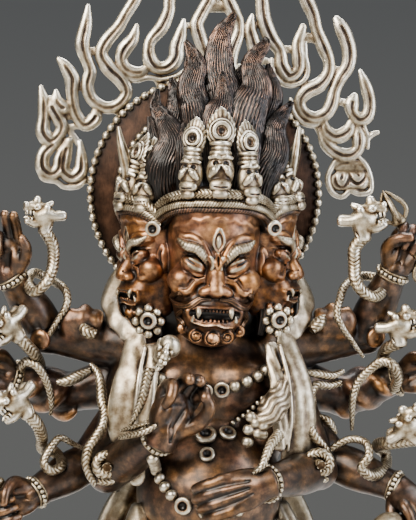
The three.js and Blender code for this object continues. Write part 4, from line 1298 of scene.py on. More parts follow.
def sculpt_body():
    clay = Clay([-80, -48, 25], [80, 20, 262], 0.66)
    # Ribs, chest, belly and the rolls of flesh at the waist.
    clay.add(ball([0, 1, 200], [26, 17, 24]), 2)
    clay.add(mirrored(lambda s: ball([s * 11, -10, 203], [11.5, 8, 9])), 4)
    clay.add(ball([0, -5, 163], [26, 25, 27]), 5)
    clay.add(ball([0, 2, 140], [23, 17, 14]), 4)
    clay.add(mirrored(lambda s: ball([s * 19, 0, 182], [8, 15, 9])), 3)
    clay.add(limb([[0, 2, 212], [0, 0, 240]], 11), 4)
    clay.cut(limb([[-13, -27.5, 184.5], [0, -29, 183], [13, -27.5, 184.5]], [0.4, 0.8, 0.4]), 1.6)
    clay.cut(ball([0, -31, 153], [2.2, 3, 1.6]), 1.4)
    clay.cut(limb([[0, -19.5, 212], [0, -21, 196]], [1.4, 0.8]), 4)
    for _, *joints, _, _ in ARMS.values():
        s, e, w = np.array(joints, float)
        upper = mix(s, e, 0.5)
        fore = mix(e, w, 0.32)
        # The arms carry painted shade through a silver value below 0.
        clay.add(limb([s, upper, e], [9.5, 8.6, 6.6], step=3), 2.5, silver=ARM_PAINTED_SHADE)
        clay.add(limb([e, fore, mix(e, w, 0.7), w], [6.8, 7.5, 6, 4.9], step=3), 1.6, silver=ARM_PAINTED_SHADE)
        clay.add(ball(mix(s, e, 0.12), [9.6, 9.6, 9.6]), 2, silver=ARM_PAINTED_SHADE)
        out = unit(2 * e - s - w)
        clay.add(ball(e + out * 1.5, 5.9), 1.5, silver=ARM_PAINTED_SHADE)
    for leg in LEGS.values():
        hip, knee, ankle, toe = np.array(leg, float)
        heel = np.array([ankle[0] + 2, ankle[1] + 4, SOLE + 5])
        clay.add(limb([hip, mix(hip, knee, 0.5), knee], [17, 17, 12], step=3), 3)
        calf = mix(knee, ankle, 0.38) + np.array([0, 2.5, 0])
        clay.add(limb([knee, calf, mix(knee, ankle, 0.75), ankle], [11.4, 11.6, 7.6, 6.9], step=3), 2.5)
        clay.add(ball(knee + np.array([0, -3, 1]), [8.4, 8, 9]), 3)
        way = unit([toe[0] - heel[0], toe[1] - heel[1], 0])
        across = np.array([-way[1], way[0], 0])
        foot = [heel, mix(ankle, toe, 0.45)[:2] + [SOLE + 6.4], [toe[0], toe[1], SOLE + 3.4]]
        clay.add(limb(foot, [5.4, 5.8, 3.8], facing=[0, 0, 1], thin=0.9), 2.5)
        clay.add(limb([ankle, heel], [6.6, 5.2]), 2)
        clay.add(mirrored(lambda s: ball(ankle + across * 6 * s, 2.2)), 1.2)
        for i in range(5):
            root = toe + across * (i - 2) * 2.6
            root[2] = SOLE + 2.6
            tip = root + way * (5.4 - 0.8 * abs(i - 1.5))
            clay.add(limb([root - way * 5, root, tip], [2.2, 1.9 - 0.1 * i, 1.6 - 0.1 * i], step=1.5), 0.5)
    # Crumpled scarf folds on the upper arms, and a curl of cloth at each raised elbow.
    folds = [
        [[50, -3, 221], [50.6, -5, 224.6], [49.6, -5, 227.6]],
        [[46.6, -4, 221], [45.8, -6.4, 226], [44.4, -4, 229]],
        [[42, -4, 221], [41, -6, 225], [40, -4, 227]],
    ]
    elbow, wrist = np.array(ARMS["left_spread"][2:4], float)
    for s in (1, -1):
        for path in folds:
            clay.add(limb([[s * x, y, z] for x, y, z in path], [2.6, 2.8, 2.3], step=1.5), 2.4)
        clay.add(ring([s * 60.5, -3.5, 218.5], [s * 0.4, -0.9, -0.2], 2.4, 1.5), 0.8)
        clay.add(ball([s * 60.5, -4, 218.5], 1.3), 0.5)
        # A scarf twisted round the forearm of each spread arm.
        for start in (0, 2.1, 4.2):
            twist = []
            for t in np.linspace(-0.1, 0.8, 12):
                out = np.array([0, math.cos(5 * t + start), math.sin(5 * t + start)])
                twist.append(elbow + (wrist - elbow) * t + out * (6.6 - 1.6 * t))
            clay.add(limb([[s * x, y, z] for x, y, z in twist], [1.2, 2.6, 2.9, 2.4, 2.7, 1.2], step=1.5), 1)
    # The soles are flat, where they stand on the base.
    height = clay.low[2] + clay.voxel * np.arange(clay.depth.shape[2])
    clay.depth = np.maximum(clay.depth, (SOLE + 0.05 - height).reshape(1, 1, -1).astype(np.float32))
    return clay


# HANDS: fingers run along X, the back faces Y and the thumb is at +Z, in a hand's own frame.

def hand_place(name):
    """How a hand is turned, and where its wrist is."""
    side, _, _, wrist, reach, thumb = ARMS[name]
    x = unit(reach)
    z = np.array(thumb, float)
    z = unit(z - x * (z @ x))
    return np.column_stack([x, np.cross(z, x) * side, z]), np.array(wrist, float)


# Fingers from knuckle to tip, along and out from the back, and thumbs in the hand's own frame.
LONG = [[14.6, 0.1], [18.6, -1.2], [22.2, -3.2]]
FOLDED = [[14.2, -0.8], [15.4, -4.2], [12.2, -6.2], [9.2, -5.2]]
FIST = [[14.0, -0.6], [16.2, -3.8], [13.4, -7.0], [9.6, -6.6]]
SOFT = [[12.8, 0.6], [16.6, -0.4], [19.0, -3.6], [19.4, -6.2]]
THUMBS = {
    "open": [[1.5, -0.8, 3.6], [6, -3, 7], [10.4, -5, 8.2], [13.8, -6.4, 7.4]],
    "fist": [[1.5, -1, 3.6], [6.5, -4.6, 6.8], [11.2, -8, 5.2], [13.4, -8.8, 1.6]],
    "tucked": [[1.5, -1, 3.2], [6, -3.6, 4], [10, -5.4, 3.6], [13, -6.4, 2.4]],
    "pinch": [[1.5, -1.6, 3.6], [6.5, -5, 7], [11.8, -7.2, 7.4], [15.2, -7, 5.2]],
}
RING_FINGERTIPS = [[14.0, -1.6], [16.6, -4.8], [15.2, -7.4]]
BECKONING = [[14.2, -0.6], [18.0, -3.4], [18.6, -6.4]]
FISTS = ("left_raised", "right_spread", "left_spread", "right_low", "left_low")
HANDS = {
    "right_raised": ("open", [LONG, LONG, FOLDED, FOLDED]),
    **dict.fromkeys(FISTS, ("fist", [FIST] * 4)),
    "blessing": ("pinch", [RING_FINGERTIPS, BECKONING, BECKONING, FOLDED]),
    "belly": ("tucked", [SOFT] * 4),
}
HAND_SIZES = {"blessing": 1.18, "belly": 1.14}


def sculpt_hand(thumb, curls):
    clay = Clay([-5, -13, -9], [28, 7, 12], 0.36)
    clay.add(limb([[-4, 0, 0], [0, 0, 0]], 4.9), 1)
    clay.add(ball([6, 0.2, 0], [8.6, 3.4, 6.7]), 2)
    clay.add(ball([4.4, -1.8, 3.6], [5.2, 2.8, 2.9]), 1.2)
    clay.add(ball([5.4, -1.9, -3.8], [5.8, 2.3, 2.4]), 1)
    for i, curl in enumerate(curls):
        z = 4.9 - 3.25 * i
        spread = 1 + 0.03 * (i - 1.5)
        line = [[6, 0.6, z * 0.8], [10.4, 0.9, z]] + [
            [x * (1 - 0.03 * abs(i - 1)), y, z * spread] for x, y in curl]
        clay.add(stroke(line, [1.8, 2.1, 1.95, 1.9, 1.75, 1.5][:len(line)]), 0.35)
        clay.add(ball([10.2, 1.4, z], [1.5, 1.2, 1.4]), 0.7)
        tip = np.array(line[-1])
        clay.add(ball(tip + np.array([0, 0.5, 0]), [1.2, 1, 1.1]), 0.3)
    clay.cut(stroke([[-1.4, -4.4, 1], [3.6, -4.4, 0.3], [9.8, -3.3, 2]], [0.5, 1.25, 0.5]), 0.5)
    clay.cut(stroke([[7.4, -3.4, -4.6], [9.4, -3.2, -1.2], [9.8, -3.3, 2.2]], [0.3, 0.6, 0.3]), 0.4)
    if thumb == "tucked":
        for z in (3.2, 0, -3.2):
            clay.cut(stroke([[2.6, 3.5, z * 0.6], [7.5, 3.6, z * 0.85], [13, 2.9, z]], [0.2, 0.8, 0.8]), 0.4)
    clay.add(stroke(THUMBS[thumb], [2.6, 2.3, 1.95, 1.5]), 0.6)
    return clay.skin(keep=0.35, reach=0.9)


def make_hands():
    ready = {}
    for name, (thumb, curls) in HANDS.items():
        key = (thumb, str(curls))
        if key not in ready:
            ready[key] = sculpt_hand(thumb, curls)
        points, faces, attributes = ready[key]
        # The hands carry painted shade through a silver value below 0.
        attributes = {**attributes, "silver": attributes["silver"] + HAND_PAINTED_SHADE}
        place = hand_place(name)
        # A left hand is a mirrored one, so its faces turn over.
        if np.linalg.det(place[0]) < 0:
            faces = [f[:, ::-1] for f in faces]
        size = HAND_SIZES.get(name, 1.0)
        copies(f"{name}_hand", (points, faces, attributes), [(place[0] * size, place[1])], plated)


BODY_CLAY = sculpt_body()
BODY_CLAY.piece("body", plated, keep=0.27, reach=1.6)
make_hands()


# DRESS: the silvered hide over the shoulders, the skirt and its hanging ends.

def make_hide():
    clay = Clay([-48, -34, 160], [48, 24, 252], 0.6)
    folds = lambda x, y, z: 0.35 * np.sin((np.abs(x) * 0.9 + z * 0.35 + y * 0.3) * 2 * math.pi / 6.5)
    for s in (1, -1):
        collar = [[s * 4, 14, 246], [s * 20, 12, 246], [s * 31, 5, 241], [s * 35.5, -1, 232.5],
            [s * 33, -8, 225], [s * 26, -14, 219]]
        clay.add(
            limb(collar, [6, 5.2, 4, 3.4, 3.4, 3.2], facing=[s * 0.5, -0.8, 0.4], thin=0.3, step=2), 1.2,
            silver=0.6, carve=folds)
        strap = [[s * 27, -14, 217], [s * 29.5, -19, 205], [s * 31.5, -19.5, 192], [s * 30, -19, 181],
            [s * 27, -19, 171]]
        clay.add(
            limb(strap, [4, 5.6, 6, 5.4, 3.4], facing=[s * 0.3, -1, 0], thin=0.4, step=2), 1, silver=1,
            carve=pleats(6.2, 0.3, 0.12 * s))
        inner = [[s * 21, -17, 216], [s * 23, -22, 204], [s * 24, -22.5, 192], [s * 23.5, -24, 182]]
        clay.add(
            limb(inner, [2.6, 3.2, 3.4, 2.4], facing=[s * 0.2, -1, 0], thin=0.5, step=2), 0.8, silver=0.6,
            carve=pleats(3.4, 0.26, 0.2 * s))
        edge = [[s * 24, -19, 217], [s * 26.6, -22.6, 205], [s * 27.6, -23, 192], [s * 26.4, -23, 180]]
        clay.add(limb(edge, [0.7, 0.9, 0.9, 0.6], step=1.5), 0.5, silver=0.6)
    clay.piece("hide", plated, keep=0.35, reach=1.2)


def pleats(size, depth, slant=0.0):
    """Sharp-edged cloth folds of one width and depth."""
    return lambda x, y, z: depth * (1 - 2 * np.abs(np.sin((x + slant * z + 0.6 * y) * math.pi / size)))


def make_skirt():
    clay = Clay([-62, -50, 66], [62, 28, 178], 0.66)
    for name, slant in (("bent", -0.8), ("braced", 0.55)):
        hip, knee = np.array(LEGS[name][:2], float)
        line = [mix(hip, knee, -0.1), mix(hip, knee, 0.3), mix(hip, knee, 0.62), mix(hip, knee, 0.84)]
        clay.add(limb(line, [18, 20.6, 19.8, 17], step=3), 3, silver=0, carve=pleats(6, 0.6, slant))
        hem = mix(hip, knee, 0.84)
        clay.add(ring(hem, knee - hip, 16.6, 1.5), 1, silver=0.9)
    clay.add(ball([0, 2, 143], [26, 21, 17]), 3, silver=0, carve=pleats(6, 0.7))
    apron = [[0, -25, 149], [1, -28, 132], [2, -26, 116], [3, -20, 102]]
    clay.add(
        limb(apron, [14, 12.6, 9.5, 4.5], facing=FORWARD, thin=0.3, step=2), 1, silver=1,
        carve=pleats(4.4, 0.6, 0.1))
    for s in (1, -1):
        end = [[s * 17, 8, 172], [s * 29, 11, 152], [s * 35, 14, 124], [s * 41, 15, 97], [s * 52, 13, 79]]
        clay.add(
            limb(end, [6, 10.5, 11.5, 10.5, 4.5], facing=[0.5 * s, 1, 0], thin=0.32, step=2), 1, silver=1,
            carve=pleats(5.6, 0.5, 0.38 * s))
        fold = [[s * 26, -12, 158], [s * 29, -16, 146], [s * 30, -14, 132], [s * 34, -12, 118]]
        clay.add(
            limb(fold, [3, 6.4, 7.4, 4], facing=[0.5 * s, -1, 0], thin=0.4, step=2), 1, silver=1,
            carve=pleats(4.6, 0.45, 0.2 * s))
    belt = [
        [math.sin(a) * 27.5, -3 - math.cos(a) * 26, 151 - 8 * math.cos(a)] for a in np.linspace(-2.2, 2.2, 15)
    ]
    clay.add(limb(belt, 2.2, step=2), 0.6, silver=0.9)
    clay.piece("skirt", plated, keep=0.17, reach=1.4)


make_hide()
make_skirt()


# SERPENTS: silvered, with herringbone backs. Each winds round a forearm and rears its head.

SCALE_PITCH = 1.5


def sculpt_serpent_head():
    """A dragon-like head with its gape along +X, a blunt muzzle, a brow knob and thick flared horns."""
    clay = Clay([-11, -6, -6], [9.5, 6, 10], 0.27)
    clay.add(ball([0, 0, 0.8], [4.2, 3.3, 3.5]), 1, silver=1)
    clay.add(stroke([[-1, 0, -1.6], [-0.6, 0, -4.4]], [2.6, 2.5]), 1.2, silver=1)
    clay.add(stroke([[0.5, 0, 2.8], [3.6, 0, 3.9], [6.2, 0, 3.2]], [2.3, 2, 1.5]), 0.8, silver=1)
    clay.add(stroke([[0, 0, -1.4], [3.4, 0, -2.1], [6, 0, -1.5]], [2.1, 1.6, 1.1]), 0.6, silver=1)
    clay.cut(stroke([[2.6, 0, 0.7], [5.4, 0, 0.8], [9, 0, 1.2]], [0.7, 1, 1.4]), 0.3, silver=0.1)
    clay.add(stroke([[3, 0, -0.4], [5.6, 0, 0.1], [7.2, 0, -0.3]], [0.7, 0.6, 0.3]), 0.3, silver=0.9)
    clay.add(ball([2.6, 0, 6], [1.5, 1.3, 1.6]), 0.7, silver=1)
    clay.add(stroke([[-1.4, 0, 4.2], [-2.8, 0, 5.2]], [1.3, 0.8]), 0.5, silver=1)
    for s in (1, -1):
        clay.add(ball([2.9, s * 1.9, 3.6], [1.3, 1, 1.1]), 0.3, silver=1)
        clay.cut(ball([3.4, s * 2.8, 3.5], 0.5), 0.2, silver=0.1)
        clay.add(ball([6.6, s * 1, 4.5], 0.95), 0.4, silver=1)
        clay.add(
            stroke([[-0.4, s * 1.6, 1.6], [-3.4, s * 1.9, 0.7], [-6.4, s * 1.9, 0.9]], [2, 1.7, 1.75]), 0.8,
            silver=1)
        clay.cut(ball([-8.2, s * 2.2, 1], [0.9, 0.8, 0.8]), 0.3, silver=0.3)
        clay.add(ball([-0.6, s * 2.6, 3.7], [1.2, 0.9, 1.3]), 0.4, silver=1)
        clay.cut(
            stroke([[-1.6, s * 3.6, -0.6], [1.6, s * 3.3, -1.2], [4.2, s * 2.2, -0.6]], [0.2, 0.35, 0.2]),
            0.2, silver=0.2)
        clay.add([ball([x, s * 1.2, 1.6], [0.42, 0.4, 0.85]) for x in (4, 5.2, 6.4)], 0.15, silver=1)
        clay.add([ball([x, s * 1, -0.5], [0.4, 0.35, 0.7]) for x in (4.6, 5.8)], 0.15, silver=1)
    for angle in np.linspace(-1.2, 1.2, 5):
        groove = [
            [-2.4, 3.2 * math.sin(angle), -2.4 - 0.5 * math.cos(angle)], [-1.2, 3.4 * math.sin(angle), -5]]
        clay.cut(stroke(groove, 0.25), 0.2, silver=0.4)
    return clay.skin(keep=0.4, reach=0.8)


# Each serpent from its tail, behind and before a forearm, up to the neck. Then its head, gaze and size.
SERPENTS = {
    "right_raised": [
        [[-59.7, -3, 215.8], [-57.6, -4, 219.9], [-54.8, -5, 224.6], [-51.9, -6, 229.3], [-50.8, -5, 233.2],
         [-52.1, -2, 237], [-56.4, 8, 239.3], [-62.3, 6, 241.9], [-65.1, -2, 239.1], [-62.8, -9, 236],
         [-59.3, -11, 238.6], [-56.7, -9.5, 243.2], [-55.9, -8, 248.1], [-56.3, -8, 253.1]],
        [-59.3, -8, 262.4], [-0.97, -0.2, 0.05], [0, 0, 1], 1],
    "left_raised": [
        [[55.2, -8.5, 211.9], [51.1, -11, 217.4], [47.4, -11.5, 222.5], [45.5, -10.5, 227.9],
         [46.9, -8, 232.9], [49.5, -3, 237.4], [56.4, 8, 240], [62.8, 7, 239], [63.7, -2, 235.9],
         [59.1, -9, 233.5], [54.5, -11, 235.8], [52.1, -10, 240], [52, -8.5, 244.9], [52.2, -8, 251]],
        [55.4, -8, 260.5], [0.97, -0.2, 0.1], [0, 0, 1], 1.2],
    "right_spread": [
        [[-56.8, -2, 191.3], [-56.5, -3, 196.4], [-57.6, -4, 201.6], [-59.8, -4.5, 206.6], [-62.6, -4, 209.8],
         [-65.8, -2, 210.4], [-67.9, 3, 206.3], [-64.4, 11, 202.3], [-60.5, 7, 207.4], [-62.3, -4, 213],
         [-65.6, -8, 217]],
        [-72, -11, 223.9], [-0.6, -0.5, -0.62], [-0.5, -0.2, 0.85], 1.15],
    "left_spread": [
        [[52.1, -2, 184.8], [52, -3, 191], [52.2, -4, 196.9], [54, -4, 202.3], [57.8, -5, 206.7],
         [62.4, -6, 210], [66.5, -7, 208.3], [68.6, -3, 202.9], [66, 4, 197.9], [63.1, 9, 200.3],
         [63.7, 6, 207.1], [64, -5, 214.2]],
        [68.2, -10, 222.3], [0.93, -0.3, 0.12], [0, 0, 1], 1.12],
    "right_low": [
        [[-44.5, -9, 179.5], [-49.3, -11, 181.9], [-53.6, -13, 184.2], [-56.6, -15, 182], [-59.8, -17, 176.5],
         [-57.3, -17, 173], [-53.3, -13, 174.6], [-55, -1, 177.5], [-59.8, -4, 179.6], [-60.4, -14, 184.7],
         [-62, -19, 189.5]],
        [-69.5, -22, 197.5], [-0.62, -0.45, -0.64], [-0.55, -0.1, 0.83], 1.15],
    "left_low": [
        [[43.3, -12, 173.1], [42.3, -11, 177.6], [45.8, -12, 180.9], [50.6, -13, 182.8], [55.2, -16, 181.7],
         [55.9, -19, 177.5], [53.4, -19, 173.2], [57.2, -17, 170.1], [62.9, -10, 171.4], [64.7, 0, 175.6],
         [60.6, -8, 179.7], [63.5, -18, 181.9]],
        [69.6, -22, 187.6], [0.72, -0.4, 0.55], [-0.6, -0.2, 0.78], 1.12],
}
# Bodies without a head in sight: the flanks, the small tails, and what wraps the front wrists and elbows.
TAILS = {
    "right_flank": [[[-42.7, -9, 210.2], [-40.3, -11, 207.2], [-39.3, -13, 202.8], [-39.1, -15, 197.6],
         [-38.1, -17, 193.2], [-39, -19, 189.1], [-41.5, -20, 185], [-44, -20, 181.1], [-44.7, -20, 176.5],
         [-43.6, -19, 172.1], [-41.3, -17, 168.3]], [0.8, 1.7, 1.9, 1.7, 1.8, 2, 1.4]],
    "left_flank": [[[47, -8, 202.6], [42.5, -10, 201.8], [37.9, -12, 202.3], [35.5, -14, 199.3],
         [35.6, -16, 195.6], [34, -18, 191.5], [34.9, -19, 187.4], [36.9, -20, 183.9], [39.8, -20, 180.4],
         [41, -19, 176.4]], [1.2, 1.6, 1.9, 1.7, 1.8, 1.6, 1.3]],
    "left_shoulder": [[[48.2, -7, 206.8], [43.7, -9, 205.2], [38.7, -11, 206.1], [33.6, -12, 206.9]],
        [0.8, 1.6, 1.7, 1]],
    "right_shoulder": [[[-54.7, -4, 203.3], [-51.1, -4, 203.6], [-47.4, -3, 205], [-42.7, -2, 207.1]],
        [1, 2, 2.3, 1.4]],
    "left_small": [[[38.9, -10, 191], [42.5, -10, 188.9], [45.4, -9, 184.5]], [0.9, 1.7, 0.8]],
    "blessing_neck": [[[-30.8, -37, 190.4], [-28.8, -38, 194.3], [-27.1, -38.5, 198.2], [-25.7, -39, 202.4],
         [-24.7, -39, 206.9], [-23.6, -39, 211.1]], [0.5, 1.3, 1.7, 1.9, 2.1]],
    "blessing_wrap": [[[-33.9, -34, 186.4], [-29.6, -39.5, 188.1], [-25.2, -43, 189.7],
         [-21.8, -43.4, 191.6]], [0.7, 1.2, 1.2, 0.7]],
    "blessing_wrap_2": [[[-33.4, -34, 189], [-28.6, -39.5, 190.8], [-24.5, -43, 192.4]], [0.6, 1, 0.6]],
    "belly_wrap": [[[12.2, -42, 174.4], [14.9, -43, 176.8], [16.8, -41, 180.5], [18.9, -38, 184],
         [22.1, -34, 187]], [0.8, 1.3, 1.7, 2, 2.3]],
    "right_armlet": [[[-45.6, -6, 225.6], [-44.4, -8.5, 222.1], [-40.9, -9.5, 220.7]], [1, 2.4, 1.8]],
    "left_armlet": [[[42, -6, 227.2], [39.2, -8.5, 224.2], [36.3, -9.5, 221.8]], [1, 2.4, 1.8]],
}


def serpent_body(name, points, radii):
    """A scaled body through points, a little flattened."""
    strand(
        name, [(points, radii)], silver, pitch=SCALE_PITCH, chevron=6, depth=0.36, sides=24, step=0.4,
        flatness=0.9)


def elbow_coil(side):
    """A tail wound into a spiral on the elbow of a front arm."""
    points = [[side * 38, -26.6, 175]]
    for t in np.linspace(2.8, 11.5, 30):
        x, z = t * 0.5 * math.cos(t), t * 0.5 * math.sin(t)
        points.append([side * 38 + side * x, -21.5 - 0.25 * (11.5 - t), 175 + z])
    return points, [1.7, 2.1, 2.0, 1.9, 1.8, 1.2]


def make_serpents():
    skin = sculpt_serpent_head()
    places = []
    for name, (points, head, look, up, size) in SERPENTS.items():
        place = looking(look, up, head, size)
        neck = list(put_at(place, [-0.6, 0, -4.6]))
        serpent_body(f"{name}_serpent", points + [neck], [0.5, 1.1, 1.4, 1.5, 1.7, 1.9, 2.0, 2.2, 2.3, 2.4])
        places.append(place)
    skull = looking([-0.25, -0.7, -0.67], [0.3, -0.75, 0.6], [-19.6, -40, 215.2], 0.86)
    copies("serpent_heads", skin, places + [skull], silver)
    cranium = Clay([-22, -44, 212], [-10, -32, 225], 0.3)
    cranium.add(ball([-16.6, -38, 218.6], [3.9, 3.9, 4.1]), 0.5, silver=1)
    cranium.piece("blessing_serpent_crown", silver, keep=0.4)
    for name, (points, radii) in TAILS.items():
        serpent_body(f"{name}_serpent", points, radii)
    for side, name in ((1, "left"), (-1, "right")):
        serpent_body(f"{name}_elbow_coil", *elbow_coil(side))


def make_paw():
    """The hide's paw, hung on the chest: a wrinkled cuff and a bunch of rounded claws."""
    clay = Clay([6, -41, 182], [31, -16, 209], 0.36)
    folds = lambda x, y, z: 0.2 * np.sin(
        (z - x * 0.8) * 2 * math.pi / 2.6 + 2 * np.sin(x * 0.6 + z * 0.5)) * np.ones_like(y)
    cuff = [[24.8, -25, 204], [23, -28, 200], [20.4, -30, 196.2], [17.4, -31.4, 192.6]]
    clay.add(stroke(cuff, [1.8, 4, 5, 3.6], facing=[0.3, -1, 0.3], thin=0.9), 0.8, silver=0.56, carve=folds)
    for i in range(8):
        turn = i * 2.4
        far = 1.2 + 0.52 * i
        at = [
            15.4 + far * math.cos(turn) * 0.8 - i * 0.35, -33.2 + 0.25 * far,
            190 + far * math.sin(turn) - i * 0.2]
        clay.add(ball(at, [2.1, 1.9, 2]), 0.35, silver=1)
    clay.piece("hide_paw", plated, keep=0.5)


make_serpents()
make_paw()


# JEWELLERY: bracelets, necklaces with pierced rings, ear flowers.

def bracelet(name, centre, axis, radius):
    """A row of beads between two wires."""
    n = unit(axis)
    u = unit(np.cross(n, [0, 0, 1]))
    v = np.cross(n, u)
    angles = np.linspace(0, FULL_TURN, 33)
    circle = [list(np.array(centre) + radius * (math.cos(a) * u + math.sin(a) * v)) for a in angles]
    count = round(FULL_TURN * radius / 1.75)
    beads(f"{name}_beads", [circle], silver, FULL_TURN * radius / count, 0.95, 0.85)
    for i, side in enumerate((-1, 1)):
        rim = [list(np.array(p) + n * side * 1.25 - (np.array(p) - centre) * 0.06) for p in circle]
        strand(f"{name}_rim_{i + 1}", [(rim, 0.5)], silver, sides=8, step=0.8)


def make_bracelets():
    for name, arm in ARMS.items():
        elbow, wrist = np.array(arm[2:4], float)
        along = wrist - elbow
        size = HAND_SIZES.get(name, 1.0)
        bracelet(f"{name}_bracelet", elbow + along * (0.93 if size == 1 else 0.88), along, 5.5 * size)


def sculpt_pierced_ring():
    """A bone ring with a deep socket, facing -Y, 2.6 mm in outer radius."""
    clay = Clay([-3.2, -2.2, -3.2], [3.2, 1.6, 3.2], 0.16)
    clay.add(ball([0, 0, 0], [2.6, 1.4, 2.6]), 0.3, silver=0.9)
    clay.add(ring([0, -0.5, 0], [0, -1, 0], 2.05, 0.62), 0.2, silver=1)
    # The socket is painted dark: painted shade.
    clay.cut(ball([0, -1.7, 0], [1.5, 1.6, 1.5]), 0.15, silver=-0.4)
    return clay.skin(keep=0.4, reach=0.5)


def front_of(x, z, lift=0.0):
    """A place on the body's front surface, lifted off it."""
    y = BODY_CLAY.front(x, z)
    return [x, (-20 if y is None else y) - lift, z]


def faced(x, z, lift, scale):
    """A place on the body's front surface, turned the way the surface faces there."""
    at = np.array(front_of(x, z, lift))
    side = np.array(front_of(x + 1.4, z)) - np.array(front_of(x - 1.4, z))
    rise = np.array(front_of(x, z + 1.4)) - np.array(front_of(x, z - 1.4))
    out = unit(np.cross(side, rise))
    x_way = unit(side)
    return np.column_stack([x_way, -out, np.cross(x_way, -out)]) * scale, at


# Pierced rings of the three necklaces: across, height and scale.
UPPER_RINGS = [(-2.4, 200.8, 1.0), (3.5, 201.4, 1.1)]
PENDANT_RINGS = [(-2.6, 185.4, 1.45), (5.2, 185.8, 1.2), (-2.6, 179.2, 1.05)]
LOWER_RINGS = [(-11.2, 161.6, 1.2), (-3.2, 159.6, 1.1)]


def make_necklaces():
    skin = sculpt_pierced_ring()
    spots = [faced(x, z, 1.2, scale) for x, z, scale in UPPER_RINGS + PENDANT_RINGS + LOWER_RINGS]
    copies("necklace_rings", skin, spots, plated)
    chains = {
        "upper": [
            [(-24, 210), (-17, 204.6), (-10, 201.8), (-6.4, 201)],
            [(8, 202.6), (12, 204.2), (16.6, 206.2), (22, 209.5)],
        ],
        "pendant": [[(-16, 199), (-10, 193), (-6.6, 189)], [(7.6, 189.2), (13, 193), (18, 198)]],
        "lower": [[(-22.4, 179), (-20.1, 173.4), (-18.3, 169.2), (-15.2, 165)], [(0.4, 158.8), (8, 159.8)]],
    }
    for name, lines in chains.items():
        paths = [[front_of(x, z, 1.0) for x, z in line] for line in lines]
        spacing, width, length = (2.0, 1.0, 0.95) if name == "pendant" else (3.9, 2.25, 2.1)
        beads(f"{name}_necklace_beads", paths, silver, spacing, width, length)


def make_ear_flowers():
    skin = sculpt_pierced_ring()
    spots = []
    for s in (1, -1):
        for x, y, z, scale in ((23.0, -23.5, 226.6, 1.15), (21.4, -23, 259, 1.05)):
            spots.append(turned_to(s * 0.35, 0, 0.15, scale, [s * x, y, z]))
        cluster = []
        for a in np.linspace(0, FULL_TURN, 9)[:-1]:
            cluster.append(
                [s * (23 + 4.3 * math.cos(a)), -21.6 + 0.9 * math.cos(a), 226.2 + 4.5 * math.sin(a)])
        side = "left" if s > 0 else "right"
        beads(f"{side}_ear_flower_beads", [cluster + cluster[:1]], silver, 3.45, 1.6)
    copies("ear_flower_rings", skin, spots, plated)


make_bracelets()
make_necklaces()
make_ear_flowers()


# LOTUS BASE: two rows of petals round a waist, and a beaded rim.

BASE = {"half_width": 74, "half_depth": 46, "height": 26, "petals": 28}


def sculpt_petal():
    """One lotus petal facing -Y, its foot at the origin and its tip rolled outwards."""
    clay = Clay([-9, -6, -2], [9, 5, 14.5], 0.5)
    clay.add(limb(
        [[0, 1.5, 0], [0, -0.5, 5], [0, -0.6, 9], [0, -1.8, 12]], [6.4, 7.4, 6.2, 1.2], facing=FORWARD,
        thin=0.3, step=1.5), 1)
    clay.add(
        limb([[0, 0.6, 1], [0, -2, 5], [0, -2, 8.6]], [2.6, 3.4, 1.6], facing=FORWARD, thin=0.42, step=1.5),
        0.8)
    return clay.skin(keep=0.16, reach=1.0)


def oval_sizes(inset):
    """The half width and half depth of the base's oval, drawn in by an inset."""
    return BASE["half_width"] - inset, BASE["half_depth"] - inset


def oval(angle, inset):
    """A point on the base's oval."""
    wide, deep = oval_sizes(inset)
    return np.array([math.cos(angle) * wide, math.sin(angle) * deep, 0])


def oval_walk(count, inset):
    """Places evenly spaced along the base's oval, with the way each faces."""
    wide, deep = oval_sizes(inset)
    fine = np.linspace(0, FULL_TURN, 721)
    line = np.array([oval(a, inset) for a in fine])
    run = np.concatenate([[0], np.cumsum(np.linalg.norm(np.diff(line, axis=0), axis=1))])
    for i in range(count):
        angle = np.interp(run[-1] * i / count, run, fine)
        out = unit([math.cos(angle) / wide, math.sin(angle) / deep, 0])
        yield oval(angle, inset), math.atan2(out[0], -out[1])


def stack_ovals(name, rings, material, sides=180):
    """A closed oval body from rings of (inset, height)."""
    angle = np.arange(sides) * 2 * math.pi / sides
    walls = [[[*oval(a, inset)[:2], z] for a in angle] for inset, z in rings]
    stack(name, [0, 0, rings[0][1]], walls, [0, 0, rings[-1][1]], material)


def make_base():
    h = BASE["height"]
    stack_ovals("base_body", [
        (0.4, 0), (0.2, 1.6), (1.4, 3.6), (5, 4.4), (5.4, 7), (9, 12),
        (9.4, 14), (6, 18), (5, 22), (4.6, 24.6), (5.2, h), (7, h),
    ], copper)
    skin = sculpt_petal()
    # The lower petals hang upside down.
    for row, inset, roll, nod, scale, foot in (
        ("upper", 5.2, 0, 0.1, 0.92, 12.6),
        ("lower", 5.6, math.pi, 0.25, 0.86, 13.2),
    ):
        spots = []
        for at, facing in oval_walk(BASE["petals"], inset):
            spots.append(turned_to(facing, roll, nod, scale, at + [0, 0, foot]))
        copies(f"base_{row}_petals", skin, spots, copper)
    rim = [list(oval(a, 5.0) + [0, 0, h - 1.0]) for a in np.linspace(0, FULL_TURN, 181)]
    beads("base_beads", [rim], silver, 2.7, 1.1)


make_base()


# HELD ATTRIBUTES: each has its grip at its own origin, with its shaft along Z.

def grip_place(name, lean=0.0):
    """Where a hand's grip is, leaning in the fist."""
    hand = hand_place(name)
    c, s = math.cos(lean), math.sin(lean)
    return then(hand, (np.array([[c, 0, s], [0, 1, 0], [-s, 0, c]]), np.array([11.6, -3, 0])))


def turned_silver(name, place, profile):
    """A silver shape turned about a place's own Z."""
    lathe(name, profile, place[1], place[0] @ np.array([0, 0, 1.0]), silver, 48)


